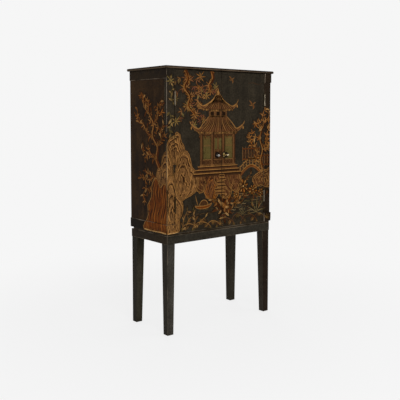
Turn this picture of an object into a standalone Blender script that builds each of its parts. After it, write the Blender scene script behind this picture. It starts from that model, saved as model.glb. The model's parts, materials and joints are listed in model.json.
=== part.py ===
"""A lacquered cabinet on a tapered-leg stand, with two full-height doors, for a television.

The origin is on the floor at the middle of the stand. +Z is up, the doors face -Y and +X is to the
right of someone who faces the doors. All sizes are in metres.
"""

import math

import bmesh
import bpy
from mathutils import Matrix, Vector

# Fits: glued or resting faces, the moving doors and the hinge pins.
JOINT_GAP = 0.0003
MEETING_GAP = 0.002
DOOR_END_GAP = 0.002
HINGE_GAP = 0.002
PIN_CLEARANCE = 0.00015
SLIDE_CLEARANCE = 0.0004

# Stand: four legs tapered on their inner faces, let into a mitred frame under a thin deck.
STAND_HEIGHT = 0.562
STAND_INSET = 0.002
LEG_TOP = 0.052
LEG_FOOT = 0.040
LEG_SETBACK = 0.002
LEG_SHOULDER = 0.001
RAIL_HEIGHT = 0.0465
RAIL_THICKNESS = 0.018
DECK_THICKNESS = 0.012
DECK_BACK_STEP = 0.020

# Case: sides with front stiles, housed boards and a two-part back.
CASE_WIDTH = 0.790
CASE_DEPTH = 0.364
CASE_HEIGHT = 0.9101
SIDE_THICKNESS = 0.018
STILE_WIDTH = 0.053
DOOR_THICKNESS = 0.020
DOOR_STOP_GAP = 0.002
TONGUE_THICKNESS = 0.006
TONGUE_LENGTH = 0.006
BOARD_THICKNESS = 0.018
HOUSING_DEPTH = 0.006
BOTTOM_RAISE = 0.012
SHELF_HEIGHT = 0.252
SHELF_SETBACK = 0.030
SHELF_CABLE_GAP = 0.034
BACK_THICKNESS = 0.008
BACK_REBATE = 0.009
CABLE_SLOT_HEIGHT = 0.045
TOP_THICKNESS = 0.015
TOP_OVERHANG = 0.014

# Applied bands: a frieze under the top and a plinth at the foot of the case, each returned on the stile.
FRIEZE_HEIGHT = 0.054
FRIEZE_THICKNESS = 0.0035
PLINTH_HEIGHT = 0.053
PLINTH_THICKNESS = 0.0045
BAND_END_STEP = 0.001

# Butt hinges with ball-tipped pins.
HINGE_LENGTH = 0.070
HINGE_INSET = 0.159
LEAF_MARGIN = 0.004
LEAF_THICKNESS = 0.0015
LEAF_RECESS = 0.001
KNUCKLE_RADIUS = 0.004
KNUCKLE_COUNT = 3
PIN_RADIUS = 0.002
PIN_TIP_RADIUS = 0.0032

# Knobs, each on a rose and held by a screw through the door.
KNOB_HEIGHT = 0.426
KNOB_LOCK_GAP = 0.0025
KNOB_RADIUS = 0.008
KNOB_LENGTH = 0.0205
KNOB_NECK_RADIUS = 0.0042
KNOB_FOOT_FLARE = 0.0012
ROSE_RADIUS = 0.0085
ROSE_THICKNESS = 0.002
SCREW_RADIUS = 0.0018
SCREW_REACH = 0.008
SCREW_HEAD_RADIUS = 0.0042
SCREW_HEAD_THICKNESS = 0.0022

# Cupboard lock in the right door, with its key and the strike in the left door.
LOCK_HEIGHT = 0.056
LOCK_DEPTH = 0.011
LOCK_WALL = 0.0025
LOCK_SIDE_WALL = 0.0015
KEY_BACKSET = 0.016
KEY_RADIUS = 0.0025
KEY_BIT_RADIUS = 0.008
KEY_BIT_WIDTH = 0.002
KEY_REST_ANGLE = math.radians(45)
KEY_COLLAR_RADIUS = 0.0036
KEY_COLLAR_LENGTH = 0.002
KEY_STEM = 0.008
KEY_BOW_RADIUS = 0.0065
KEY_BOW_WIRE = 0.0015
BOLT_TAIL = 0.0025
BOLT_HEIGHT = 0.012
BOLT_RISE = 0.0035
ESCUTCHEON_WIDTH = 0.016
ESCUTCHEON_HEIGHT = 0.028
ESCUTCHEON_THICKNESS = 0.0012
STRIKE_HEIGHT = 0.034
STRIKE_THICKNESS = 0.0015
STRIKE_WIDTH = 0.010

# Slide bolts inside the left door, one at each end.
SLIDE_OFFSET = 0.030
SLIDE_ROD_RADIUS = 0.0028
SLIDE_TRAVEL = 0.010
SLIDE_START = 0.0015
SLIDE_PLATE_WIDTH = 0.018
SLIDE_PLATE_LENGTH = 0.056
SLIDE_PLATE_THICKNESS = 0.0015
SLIDE_PLATE_OFFSET = 0.006
SLIDE_GUIDE_WALL = 0.002
SLIDE_GUIDE_LENGTH = 0.008
KEEPER_WALL = 0.0026
SLIDE_THUMB_RADIUS = 0.0032
SLIDE_THUMB_LENGTH = 0.006

# Edge softening and roundness.
EDGE = 0.0012
BAND_EDGE = 0.0015
TOP_EDGE = 0.0055
TOP_EDGE_STEPS = 4
ROUND_SIDES = 24
FINE_SIDES = 20
OVAL_SIDES = 32
WIRE_SIDES = 10
BALL_STEPS = 9
ROSE_STEPS = 5
SMOOTH_ANGLE = math.radians(35)
MERGE_DISTANCE = 0.00005

# Levels and faces that follow from the sizes above.
FRONT = -CASE_DEPTH / 2
BACK = CASE_DEPTH / 2
HALF_WIDTH = CASE_WIDTH / 2
CASE_BOTTOM = STAND_HEIGHT + DECK_THICKNESS + 2 * JOINT_GAP
CASE_TOP = CASE_BOTTOM + CASE_HEIGHT
STILE_DEPTH = DOOR_THICKNESS + DOOR_STOP_GAP
STILE_EDGE = HALF_WIDTH - STILE_WIDTH
DOOR_EDGE = STILE_EDGE - HINGE_GAP
DOOR_BOTTOM = CASE_BOTTOM + DOOR_END_GAP
DOOR_TOP = CASE_TOP - DOOR_END_GAP
DOOR_BACK = FRONT + DOOR_THICKNESS
LEAF_WIDTH = DOOR_THICKNESS - LEAF_MARGIN
HINGE_X = STILE_EDGE - HINGE_GAP / 2
HINGE_Y = FRONT - KNUCKLE_RADIUS - JOINT_GAP
HINGE_LEVELS = {"lower": DOOR_BOTTOM + HINGE_INSET, "upper": DOOR_TOP - HINGE_INSET}
BOARD_FRONT = FRONT + STILE_DEPTH + JOINT_GAP
BACK_FACE = BACK - BACK_THICKNESS - JOINT_GAP
SIDE_INNER = HALF_WIDTH - SIDE_THICKNESS
BOTTOM_BOARD_LOW = CASE_BOTTOM + BOTTOM_RAISE
SHELF_LOW = CASE_BOTTOM + SHELF_HEIGHT
SHELF_TOP = SHELF_LOW + BOARD_THICKNESS
INNER_TOP_LOW = CASE_TOP - BOARD_THICKNESS
HANDLE_LEVEL = CASE_BOTTOM + KNOB_HEIGHT
SIDES = {"left": -1, "right": 1}
ENDS = {"front": -1, "back": 1}

# Lock sizes that follow from the key: the bit leans as far to one side of upright as it turns to the other,
# and carries the bolt along by the talon, a notch just wide enough for the leaning bit.
KEY_X = MEETING_GAP / 2 + KEY_BACKSET
LOCK_FRONT = DOOR_BACK - LOCK_DEPTH
LOCK_EDGE = MEETING_GAP / 2 + JOINT_GAP
BOLT_END = LOCK_EDGE + JOINT_GAP
BOLT_TRAVEL = math.sin(KEY_REST_ANGLE) * (BOLT_RISE + KEY_BIT_RADIUS)
BIT_REACH = math.sin(KEY_REST_ANGLE) * KEY_BIT_RADIUS + math.cos(KEY_REST_ANGLE) * KEY_BIT_WIDTH / 2
TALON_WIDTH = 2 * (BIT_REACH - BOLT_TRAVEL / 2 + SLIDE_CLEARANCE)
TALON_DEPTH = KEY_BIT_RADIUS - BOLT_RISE + 2 * SLIDE_CLEARANCE
TALON_X = KEY_X + BOLT_TRAVEL / 2
BOLT_LENGTH = TALON_X + TALON_WIDTH / 2 + BOLT_TAIL - BOLT_END
LOCK_WIDTH = BOLT_END + BOLT_LENGTH + SLIDE_CLEARANCE + LOCK_SIDE_WALL - LOCK_EDGE
BOLT_LOW = HANDLE_LEVEL + BOLT_RISE
BOLT_HIGH = BOLT_LOW + BOLT_HEIGHT
BOLT_FRONT = LOCK_FRONT + JOINT_GAP + LOCK_WALL + SLIDE_CLEARANCE
BOLT_BACK = DOOR_BACK - LOCK_WALL - SLIDE_CLEARANCE
KEYHOLE_RADIUS = KEY_RADIUS + 2 * SLIDE_CLEARANCE
KEYHOLE_DROP = KEY_BIT_RADIUS + 2 * SLIDE_CLEARANCE
KEYHOLE_SLOT = KEY_BIT_WIDTH + 2 * SLIDE_CLEARANCE
KNOB_X = LOCK_EDGE + LOCK_WIDTH + KNOB_LOCK_GAP + SCREW_HEAD_RADIUS

# Slide bolt sizes that follow from the boards they shoot into.
SLIDE_HOLE_RADIUS = SLIDE_ROD_RADIUS + 2 * SLIDE_CLEARANCE
SLIDE_AXIS_DEPTH = DOOR_STOP_GAP + SLIDE_HOLE_RADIUS + KEEPER_WALL
SLIDE_GUIDE_WIDTH = 2 * (SLIDE_ROD_RADIUS + SLIDE_CLEARANCE + SLIDE_GUIDE_WALL)
SLIDE_ROD_LENGTH = SLIDE_PLATE_OFFSET - SLIDE_START + SLIDE_PLATE_LENGTH + SLIDE_TRAVEL


def clear_scene():
    for thing in list(bpy.data.objects):
        bpy.data.objects.remove(thing, do_unlink=True)


def new_collection(name):
    group = bpy.data.collections.new(name)
    bpy.context.scene.collection.children.link(group)
    return group


clear_scene()
PARTS = new_collection("tv_cabinet")
CUTTERS = new_collection("cutters")


def finish(name, colour, roughness, metallic=0.0):
    material = bpy.data.materials.new(name)
    material.use_nodes = True
    shader = material.node_tree.nodes["Principled BSDF"]
    shader.inputs["Base Color"].default_value = (*colour, 1.0)
    shader.inputs["Roughness"].default_value = roughness
    shader.inputs["Metallic"].default_value = metallic
    return material


LACQUER = finish("black_lacquer", (0.030, 0.024, 0.020), 0.35)
STAND_LACQUER = finish("stand_lacquer", (0.028, 0.022, 0.018), 0.40)
BARE_WOOD = finish("stained_interior", (0.120, 0.066, 0.035), 0.60)
BRASS = finish("brass", (0.780, 0.570, 0.240), 0.28, 1.0)
STEEL = finish("steel", (0.420, 0.410, 0.400), 0.35, 1.0)


def stand_at(thing, at, parent):
    """Puts a thing's own origin at a world point, under a chain of unturned parents."""
    thing.parent = parent
    place = Vector(at)
    while parent:
        place = place - parent.location
        parent = parent.parent
    thing.location = place
    return thing


def add_part(name, mesh, material, at, parent=None):
    """Links a mesh as a named piece whose own origin stands at a world point."""
    piece = bpy.data.objects.new(name, mesh)
    PARTS.objects.link(piece)
    mesh.materials.append(material)
    return stand_at(piece, at, parent)


def axis_empty(name, at, parent=None):
    empty = bpy.data.objects.new(name, None)
    PARTS.objects.link(empty)
    empty.empty_display_size = LEG_TOP / 2
    return stand_at(empty, at, parent)


def mesh_from(build, name):
    """Runs a bmesh recipe and returns the result as a mesh."""
    shape = bmesh.new()
    build(shape)
    bmesh.ops.recalc_face_normals(shape, faces=shape.faces)
    mesh = bpy.data.meshes.new(name)
    shape.to_mesh(mesh)
    shape.free()
    return mesh


def box_mesh(name, size):
    scale = Matrix.Diagonal((*size, 1.0))
    return mesh_from(lambda shape: bmesh.ops.create_cube(shape, size=1.0, matrix=scale), name)


def rod_mesh(name, radius, length, axis="Z", sides=ROUND_SIDES):
    """A round rod along Y or Z, centred on its own origin."""
    turn = Matrix.Rotation(math.pi / 2, 4, "X") if axis == "Y" else Matrix.Identity(4)

    def build(shape):
        bmesh.ops.create_cone(shape, cap_ends=True, segments=sides, radius1=radius, radius2=radius,
                              depth=length, matrix=turn)

    mesh = mesh_from(build, name)
    smooth(mesh)
    return mesh


def smooth(mesh):
    mesh.shade_smooth()
    mesh.set_sharp_from_angle(angle=SMOOTH_ANGLE)


def span(low, high):
    """The middle and the size of a box between two corners."""
    low, high = Vector(low), Vector(high)
    return (low + high) / 2, high - low


def soften(piece, width, segments=1):
    bevel = piece.modifiers.new("soft_edges", "BEVEL")
    bevel.width = width
    bevel.segments = segments
    bevel.limit_method = "ANGLE"


def board(name, low, high, material, edge=EDGE, segments=1, parent=None):
    """A rectangular board between two world corners, with eased edges."""
    middle, size = span(low, high)
    piece = add_part(name, box_mesh(name, size), material, middle, parent)
    if edge:
        soften(piece, edge, segments)
    return piece


def add_cutter(name, mesh, at, parent=None):
    cutter = bpy.data.objects.new(name, mesh)
    CUTTERS.objects.link(cutter)
    cutter.hide_render = True
    cutter.display_type = "WIRE"
    return stand_at(cutter, at, parent)


def combine(piece, tool, operation):
    step = piece.modifiers.new(tool.name, "BOOLEAN")
    step.operation = operation
    step.object = tool
    return piece


def cut_box(piece, name, low, high, parent=None):
    middle, size = span(low, high)
    return combine(piece, add_cutter(name, box_mesh(name, size), middle, parent), "DIFFERENCE")


def cut_rod(piece, name, at, radius, length, axis, parent=None, sides=ROUND_SIDES):
    mesh = rod_mesh(name, radius, length, axis, sides)
    return combine(piece, add_cutter(name, mesh, at, parent), "DIFFERENCE")


def join_box(piece, name, low, high, parent=None):
    middle, size = span(low, high)
    return combine(piece, add_cutter(name, box_mesh(name, size), middle, parent), "UNION")


def join_rod(piece, name, at, radius, length, axis, parent=None, sides=ROUND_SIDES):
    mesh = rod_mesh(name, radius, length, axis, sides)
    return combine(piece, add_cutter(name, mesh, at, parent), "UNION")


def turned_piece(name, profile, material, at, parent, sides=FINE_SIDES):
    """Turns a profile of (radius, distance out from the door) points about -Y, outermost point first."""
    outline = bpy.data.meshes.new(name)
    points = [(radius, 0.0, out) for radius, out in profile]
    outline.from_pydata(points, [(i, i + 1) for i in range(len(points) - 1)], [])
    piece = add_part(name, outline, material, at, parent)
    piece.rotation_euler = (math.pi / 2, 0.0, 0.0)
    lathe = piece.modifiers.new("turning", "SCREW")
    lathe.axis = "Z"
    lathe.steps = sides
    lathe.render_steps = sides
    lathe.use_merge_vertices = True
    lathe.merge_threshold = MERGE_DISTANCE
    lathe.use_normal_calculate = True
    return piece


# The stand.

RAIL_X = HALF_WIDTH - STAND_INSET
RAIL_Y = CASE_DEPTH / 2 - STAND_INSET
RAIL_LOW = STAND_HEIGHT - RAIL_HEIGHT


def make_leg(name, side, end):
    """A leg tapered on its two inner faces, with a reduced block at its top that stands inside the frame."""
    height = RAIL_LOW - JOINT_GAP
    block_outer = RAIL_THICKNESS + JOINT_GAP - LEG_SETBACK
    block_inner = LEG_TOP - LEG_SHOULDER

    def build(shape):
        move = Matrix.Translation((LEG_TOP / 2, LEG_TOP / 2, height / 2))
        size = Matrix.Diagonal((LEG_TOP, LEG_TOP, height, 1.0))
        bmesh.ops.create_cube(shape, size=1.0, matrix=move @ size)
        foot_share = LEG_FOOT / LEG_TOP
        for corner in shape.verts:
            if corner.co.z < height / 2:
                corner.co.x *= foot_share
                corner.co.y *= foot_share
        top = max(shape.faces, key=lambda face: face.calc_center_median().z)
        ring = bmesh.ops.extrude_discrete_faces(shape, faces=[top])["faces"][0]
        for corner in ring.verts:
            corner.co.x = block_inner if corner.co.x > LEG_TOP / 2 else block_outer
            corner.co.y = block_inner if corner.co.y > LEG_TOP / 2 else block_outer
        crown = bmesh.ops.extrude_discrete_faces(shape, faces=[ring])["faces"][0]
        for corner in crown.verts:
            corner.co.z = STAND_HEIGHT
        # The leg is drawn with its outer corner at the origin; turn it to face its own corner.
        turn = Matrix.Diagonal((-side, -end, 1.0, 1.0))
        bmesh.ops.transform(shape, matrix=turn, verts=shape.verts)

    corner = (side * (RAIL_X - LEG_SETBACK), end * (RAIL_Y - LEG_SETBACK), 0.0)
    leg = add_part(name, mesh_from(build, name), STAND_LACQUER, corner)
    soften(leg, EDGE)
    return leg


def mitred_strip(name, length, thickness, height, material, at, turn, mitres, edge):
    """A strip along its own X whose outer face is at -Y; mitred ends run out to the outer face."""

    def build(shape):
        move = Matrix.Translation((0.0, thickness / 2, 0.0))
        size = Matrix.Diagonal((length, thickness, height, 1.0))
        bmesh.ops.create_cube(shape, size=1.0, matrix=move @ size)
        for corner in shape.verts:
            end = 1 if corner.co.x > 0 else -1
            if end in mitres and corner.co.y > thickness / 2:
                corner.co.x -= end * thickness

    strip = add_part(name, mesh_from(build, name), material, at)
    strip.rotation_euler = (0.0, 0.0, turn)
    soften(strip, edge)
    return strip


def make_stand():
    for side_name, side in SIDES.items():
        for end_name, end in ENDS.items():
            make_leg(f"leg_{end_name}_{side_name}", side, end)
    level = STAND_HEIGHT - RAIL_HEIGHT / 2
    mitre_ease = JOINT_GAP / 2
    for end_name, end in ENDS.items():
        turn = 0.0 if end < 0 else math.pi
        mitred_strip(f"rail_{end_name}", 2 * (RAIL_X - mitre_ease), RAIL_THICKNESS, RAIL_HEIGHT,
                     STAND_LACQUER, (0.0, end * RAIL_Y, level), turn, (-1, 1), EDGE / 2)
    for side_name, side in SIDES.items():
        turn = side * math.pi / 2
        mitred_strip(f"rail_{side_name}", 2 * (RAIL_Y - mitre_ease), RAIL_THICKNESS, RAIL_HEIGHT,
                     STAND_LACQUER, (side * RAIL_X, 0.0, level), turn, (-1, 1), EDGE / 2)
    deck_low = STAND_HEIGHT + JOINT_GAP
    board("stand_deck", (-RAIL_X, -RAIL_Y, deck_low),
          (RAIL_X, RAIL_Y - DECK_BACK_STEP, deck_low + DECK_THICKNESS), STAND_LACQUER)


# The case.

HOUSED_BOARDS = {
    "case_bottom": (BOTTOM_BOARD_LOW, BOARD_FRONT, BACK_FACE),
    "tv_shelf": (SHELF_LOW, BOARD_FRONT + SHELF_SETBACK, BACK_FACE - SHELF_CABLE_GAP),
    "inner_top": (INNER_TOP_LOW, BOARD_FRONT, BACK_FACE),
}


def make_side(side_name, side):
    """A side panel: tongue to the stile in front, housings for the boards and a rebate for the back."""
    inner, outer = sorted((side * SIDE_INNER, side * HALF_WIDTH))
    front = FRONT + STILE_DEPTH + JOINT_GAP
    panel = board(f"side_{side_name}", (inner, front, CASE_BOTTOM), (outer, BACK, CASE_TOP), LACQUER)
    tongue_x = side * (HALF_WIDTH - SIDE_THICKNESS / 2)
    half_tongue = TONGUE_THICKNESS / 2
    tongue_bite = 2 * EDGE
    join_box(panel, f"tongue_{side_name}",
             (tongue_x - half_tongue, front - TONGUE_LENGTH, CASE_BOTTOM + EDGE),
             (tongue_x + half_tongue, front + tongue_bite, CASE_TOP - EDGE))
    housing_far = side * (SIDE_INNER + HOUSING_DEPTH + JOINT_GAP)
    clear_x = side * (SIDE_INNER - SIDE_THICKNESS)
    low_x, high_x = sorted((housing_far, clear_x))
    for name, (level, board_front, board_back) in HOUSED_BOARDS.items():
        top = level + BOARD_THICKNESS + JOINT_GAP
        if name == "inner_top":
            top = CASE_TOP + BOARD_THICKNESS
        cut_box(panel, f"housing_{name}_{side_name}", (low_x, board_front - JOINT_GAP, level - JOINT_GAP),
                (high_x, board_back + JOINT_GAP, top))
    rebate_far = side * (SIDE_INNER + BACK_REBATE)
    low_x, high_x = sorted((rebate_far, clear_x))
    cut_box(panel, f"rebate_{side_name}", (low_x, BACK_FACE, CASE_BOTTOM - BACK_THICKNESS),
            (high_x, BACK + BACK_THICKNESS, CASE_TOP + BACK_THICKNESS))
    return panel


def make_stile(side_name, side):
    """A front stile, grooved for the side's tongue and recessed for the two hinge leaves."""
    low_x, high_x = sorted((side * STILE_EDGE, side * HALF_WIDTH))
    stile = board(f"stile_{side_name}", (low_x, FRONT, CASE_BOTTOM), (high_x, FRONT + STILE_DEPTH, CASE_TOP),
                  LACQUER)
    groove_x = side * (HALF_WIDTH - SIDE_THICKNESS / 2)
    half_groove = TONGUE_THICKNESS / 2 + JOINT_GAP
    groove_floor = FRONT + STILE_DEPTH - TONGUE_LENGTH
    cut_box(stile, f"groove_{side_name}", (groove_x - half_groove, groove_floor, CASE_BOTTOM - EDGE),
            (groove_x + half_groove, FRONT + 2 * STILE_DEPTH, CASE_TOP + EDGE))
    for level_name, level in HINGE_LEVELS.items():
        recess_leaf(stile, f"stile_recess_{level_name}_{side_name}", side, level, STILE_EDGE, 1)
    return stile


def recess_leaf(wood, name, side, level, edge, inward, parent=None):
    """Cuts the shallow recess for one hinge leaf into the edge of a stile or of a door."""
    deep = edge + inward * (LEAF_RECESS + JOINT_GAP)
    clear = edge - inward * HINGE_GAP
    low_x, high_x = sorted((side * deep, side * clear))
    half = HINGE_LENGTH / 2 + JOINT_GAP
    cut_box(wood, name, (low_x, FRONT - LEAF_WIDTH, level - half),
            (high_x, FRONT + LEAF_WIDTH + 2 * JOINT_GAP, level + half), parent)


def make_boards():
    reach = SIDE_INNER + HOUSING_DEPTH
    made = {}
    for name, (level, front, back) in HOUSED_BOARDS.items():
        top = level + BOARD_THICKNESS
        made[name] = board(name, (-reach, front, level), (reach, back, top), BARE_WOOD, EDGE / 2)
    return made


def make_back():
    reach = SIDE_INNER + BACK_REBATE - JOINT_GAP
    slot_low = SHELF_TOP
    slot_high = slot_low + CABLE_SLOT_HEIGHT
    near = BACK - BACK_THICKNESS
    board("back_lower", (-reach, near, CASE_BOTTOM), (reach, BACK, slot_low), BARE_WOOD, EDGE / 2)
    board("back_upper", (-reach, near, slot_high), (reach, BACK, CASE_TOP), BARE_WOOD, EDGE / 2)


def make_top():
    low = CASE_TOP + JOINT_GAP
    reach_x = HALF_WIDTH + TOP_OVERHANG
    reach_y = CASE_DEPTH / 2 + TOP_OVERHANG
    board("top_board", (-reach_x, -reach_y, low), (reach_x, reach_y, low + TOP_THICKNESS), LACQUER, TOP_EDGE,
          TOP_EDGE_STEPS)


def make_bands():
    bands = {
        "frieze": (CASE_TOP - FRIEZE_HEIGHT / 2, FRIEZE_HEIGHT, FRIEZE_THICKNESS),
        "plinth": (CASE_BOTTOM + PLINTH_HEIGHT / 2, PLINTH_HEIGHT, PLINTH_THICKNESS),
    }
    mitre_ease = JOINT_GAP / 2
    for band_name, (level, height, thickness) in bands.items():
        outer_x = HALF_WIDTH + JOINT_GAP + thickness
        outer_y = FRONT - JOINT_GAP - thickness
        for side_name, side in SIDES.items():
            # The front end of a side strip is at its own -X on the right and +X on the left.
            length = BACK - outer_y - mitre_ease
            mitred_strip(f"{band_name}_side_{side_name}", length, thickness, height, LACQUER,
                         (side * outer_x, BACK - length / 2, level), side * math.pi / 2, (-side,), BAND_EDGE)
            inner_x = STILE_EDGE + BAND_END_STEP
            length = outer_x - mitre_ease - inner_x
            mitred_strip(f"{band_name}_return_{side_name}", length, thickness, height, LACQUER,
                         (side * (inner_x + length / 2), outer_y, level), 0.0, (side,), BAND_EDGE)


def make_case():
    for side_name, side in SIDES.items():
        make_side(side_name, side)
        make_stile(side_name, side)
    boards = make_boards()
    make_back()
    make_top()
    make_bands()
    return boards


# The doors and their hinges.


def make_door(side_name, side, axis):
    low_x, high_x = sorted((side * MEETING_GAP / 2, side * DOOR_EDGE))
    door = board(f"door_{side_name}", (low_x, FRONT, DOOR_BOTTOM), (high_x, DOOR_BACK, DOOR_TOP), LACQUER,
                 parent=axis)
    for level_name, level in HINGE_LEVELS.items():
        recess_leaf(door, f"door_recess_{level_name}_{side_name}", side, level, DOOR_EDGE, -1, axis)
    cut_rod(door, f"knob_hole_{side_name}", (side * KNOB_X, FRONT + DOOR_THICKNESS / 2, HANDLE_LEVEL),
            SCREW_RADIUS + JOINT_GAP, 2 * DOOR_THICKNESS, "Y", axis)
    return door


def make_leaf(name, side, level, edge, inward, knuckles, parent):
    """One hinge leaf: a plate let into the wood, necks, and its share of the knuckles around the pin."""
    deep = edge + inward * LEAF_RECESS
    shallow = deep - inward * LEAF_THICKNESS
    low_x, high_x = sorted((side * deep, side * shallow))
    half = HINGE_LENGTH / 2
    plate_front = FRONT + JOINT_GAP
    leaf = board(name, (low_x, plate_front, level - half), (high_x, FRONT + LEAF_WIDTH, level + half),
                 BRASS, 0.0, parent=parent)
    pitch = HINGE_LENGTH / KNUCKLE_COUNT
    knuckle_length = pitch - JOINT_GAP
    neck_inset = LEAF_THICKNESS / 8
    neck_bite = LEAF_WIDTH / 4
    for index in knuckles:
        centre = level - half + (index + 0.5) * pitch
        reach = knuckle_length / 2
        join_box(leaf, f"{name}_neck_{index}", (low_x + neck_inset, HINGE_Y, centre - reach + neck_inset),
                 (high_x - neck_inset, plate_front + neck_bite, centre + reach - neck_inset), parent)
        join_rod(leaf, f"{name}_knuckle_{index}", (side * HINGE_X, HINGE_Y, centre), KNUCKLE_RADIUS,
                 knuckle_length, "Z", parent)
    cut_rod(leaf, f"{name}_bore", (side * HINGE_X, HINGE_Y, level), PIN_RADIUS + PIN_CLEARANCE,
            2 * HINGE_LENGTH, "Z", parent)
    return leaf


def make_hinge(level_name, level, side_name, side, axis):
    prefix = f"hinge_{level_name}_{side_name}"
    case_knuckles = range(0, KNUCKLE_COUNT, 2)
    door_knuckles = range(1, KNUCKLE_COUNT, 2)
    make_leaf(f"{prefix}_case_leaf", side, level, STILE_EDGE, 1, case_knuckles, None)
    make_leaf(f"{prefix}_door_leaf", side, level, DOOR_EDGE, -1, door_knuckles, axis)
    # The pin runs through all the knuckles and ends in a ball above and below them.
    middle = (side * HINGE_X, HINGE_Y, level)
    tip_sink = PIN_TIP_RADIUS - math.sqrt(PIN_TIP_RADIUS**2 - PIN_RADIUS**2)
    tip_rise = HINGE_LENGTH / 2 + JOINT_GAP + PIN_TIP_RADIUS
    pin = add_part(f"{prefix}_pin", rod_mesh(prefix, PIN_RADIUS, 2 * (tip_rise - tip_sink), "Z", FINE_SIDES),
                   BRASS, middle)
    for end in (-1, 1):
        ball = mesh_from(lambda shape: bmesh.ops.create_uvsphere(
            shape, u_segments=FINE_SIDES, v_segments=FINE_SIDES // 2, radius=PIN_TIP_RADIUS), f"{prefix}_tip")
        smooth(ball)
        spot = Vector(middle) + Vector((0.0, 0.0, end * tip_rise))
        combine(pin, add_cutter(f"{prefix}_tip_{end}", ball, spot), "UNION")
    return pin


def arc(centre, radius, start, stop, steps):
    """Points (radius from the turning axis, distance out) along an arc; angles run from the outward pole."""
    points = []
    for i in range(steps + 1):
        angle = start + (stop - start) * i / steps
        points.append((radius * math.sin(angle), centre + radius * math.cos(angle)))
    return points


def make_knob(side_name, side, axis):
    """A turned ball knob on a rose, drawn tight by a screw from inside the door."""
    seat = (side * KNOB_X, FRONT - JOINT_GAP, HANDLE_LEVEL)
    bore = SCREW_RADIUS + JOINT_GAP
    shoulder = ROSE_RADIUS - ROSE_THICKNESS
    rose_points = [(bore, ROSE_THICKNESS), (shoulder, ROSE_THICKNESS)]
    for step in range(1, ROSE_STEPS + 1):
        angle = math.pi / 2 * step / ROSE_STEPS
        rose_points.append((shoulder + ROSE_THICKNESS * math.sin(angle), ROSE_THICKNESS * math.cos(angle)))
    rose_points += [(bore, 0.0), (bore, ROSE_THICKNESS)]
    turned_piece(f"knob_rose_{side_name}", rose_points, BRASS, seat, axis)

    ball_centre = KNOB_LENGTH - KNOB_RADIUS
    neck_angle = math.pi - math.asin(KNOB_NECK_RADIUS / KNOB_RADIUS)
    foot = ROSE_THICKNESS + JOINT_GAP
    reach = SCREW_REACH + JOINT_GAP
    knob_points = arc(ball_centre, KNOB_RADIUS, 0.0, neck_angle, BALL_STEPS)
    foot_radius = KNOB_NECK_RADIUS + KNOB_FOOT_FLARE
    knob_points += [(foot_radius, foot + KNOB_FOOT_FLARE), (foot_radius, foot)]
    knob_points += [(bore, foot), (bore, foot + reach), (0.0, foot + reach)]
    turned_piece(f"knob_{side_name}", knob_points, BRASS, seat, axis)

    head_face = DOOR_BACK + JOINT_GAP
    shank_tip = FRONT - JOINT_GAP - foot - SCREW_REACH
    shank_end = head_face + SCREW_HEAD_THICKNESS / 2
    shank_middle = (side * KNOB_X, (shank_tip + shank_end) / 2, HANDLE_LEVEL)
    screw_name = f"knob_screw_{side_name}"
    shank = rod_mesh(screw_name, SCREW_RADIUS, shank_end - shank_tip, "Y", FINE_SIDES)
    screw = add_part(screw_name, shank, STEEL, shank_middle, axis)
    join_rod(screw, f"knob_screw_head_{side_name}",
             (side * KNOB_X, head_face + SCREW_HEAD_THICKNESS / 2, HANDLE_LEVEL),
             SCREW_HEAD_RADIUS, SCREW_HEAD_THICKNESS, "Y", axis, FINE_SIDES)
    return screw


# The lock, its key and the strike.


def cut_keyhole(piece, name, near, far, parent):
    """Cuts the keyhole, a round hole over a slot, through a piece between two depths."""
    middle = (KEY_X, (near + far) / 2, HANDLE_LEVEL)
    cut_rod(piece, f"{name}_round", middle, KEYHOLE_RADIUS, far - near, "Y", parent, FINE_SIDES)
    cut_box(piece, f"{name}_slot", (KEY_X - KEYHOLE_SLOT / 2, near, HANDLE_LEVEL - KEYHOLE_DROP),
            (KEY_X + KEYHOLE_SLOT / 2, far, HANDLE_LEVEL), parent)


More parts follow.
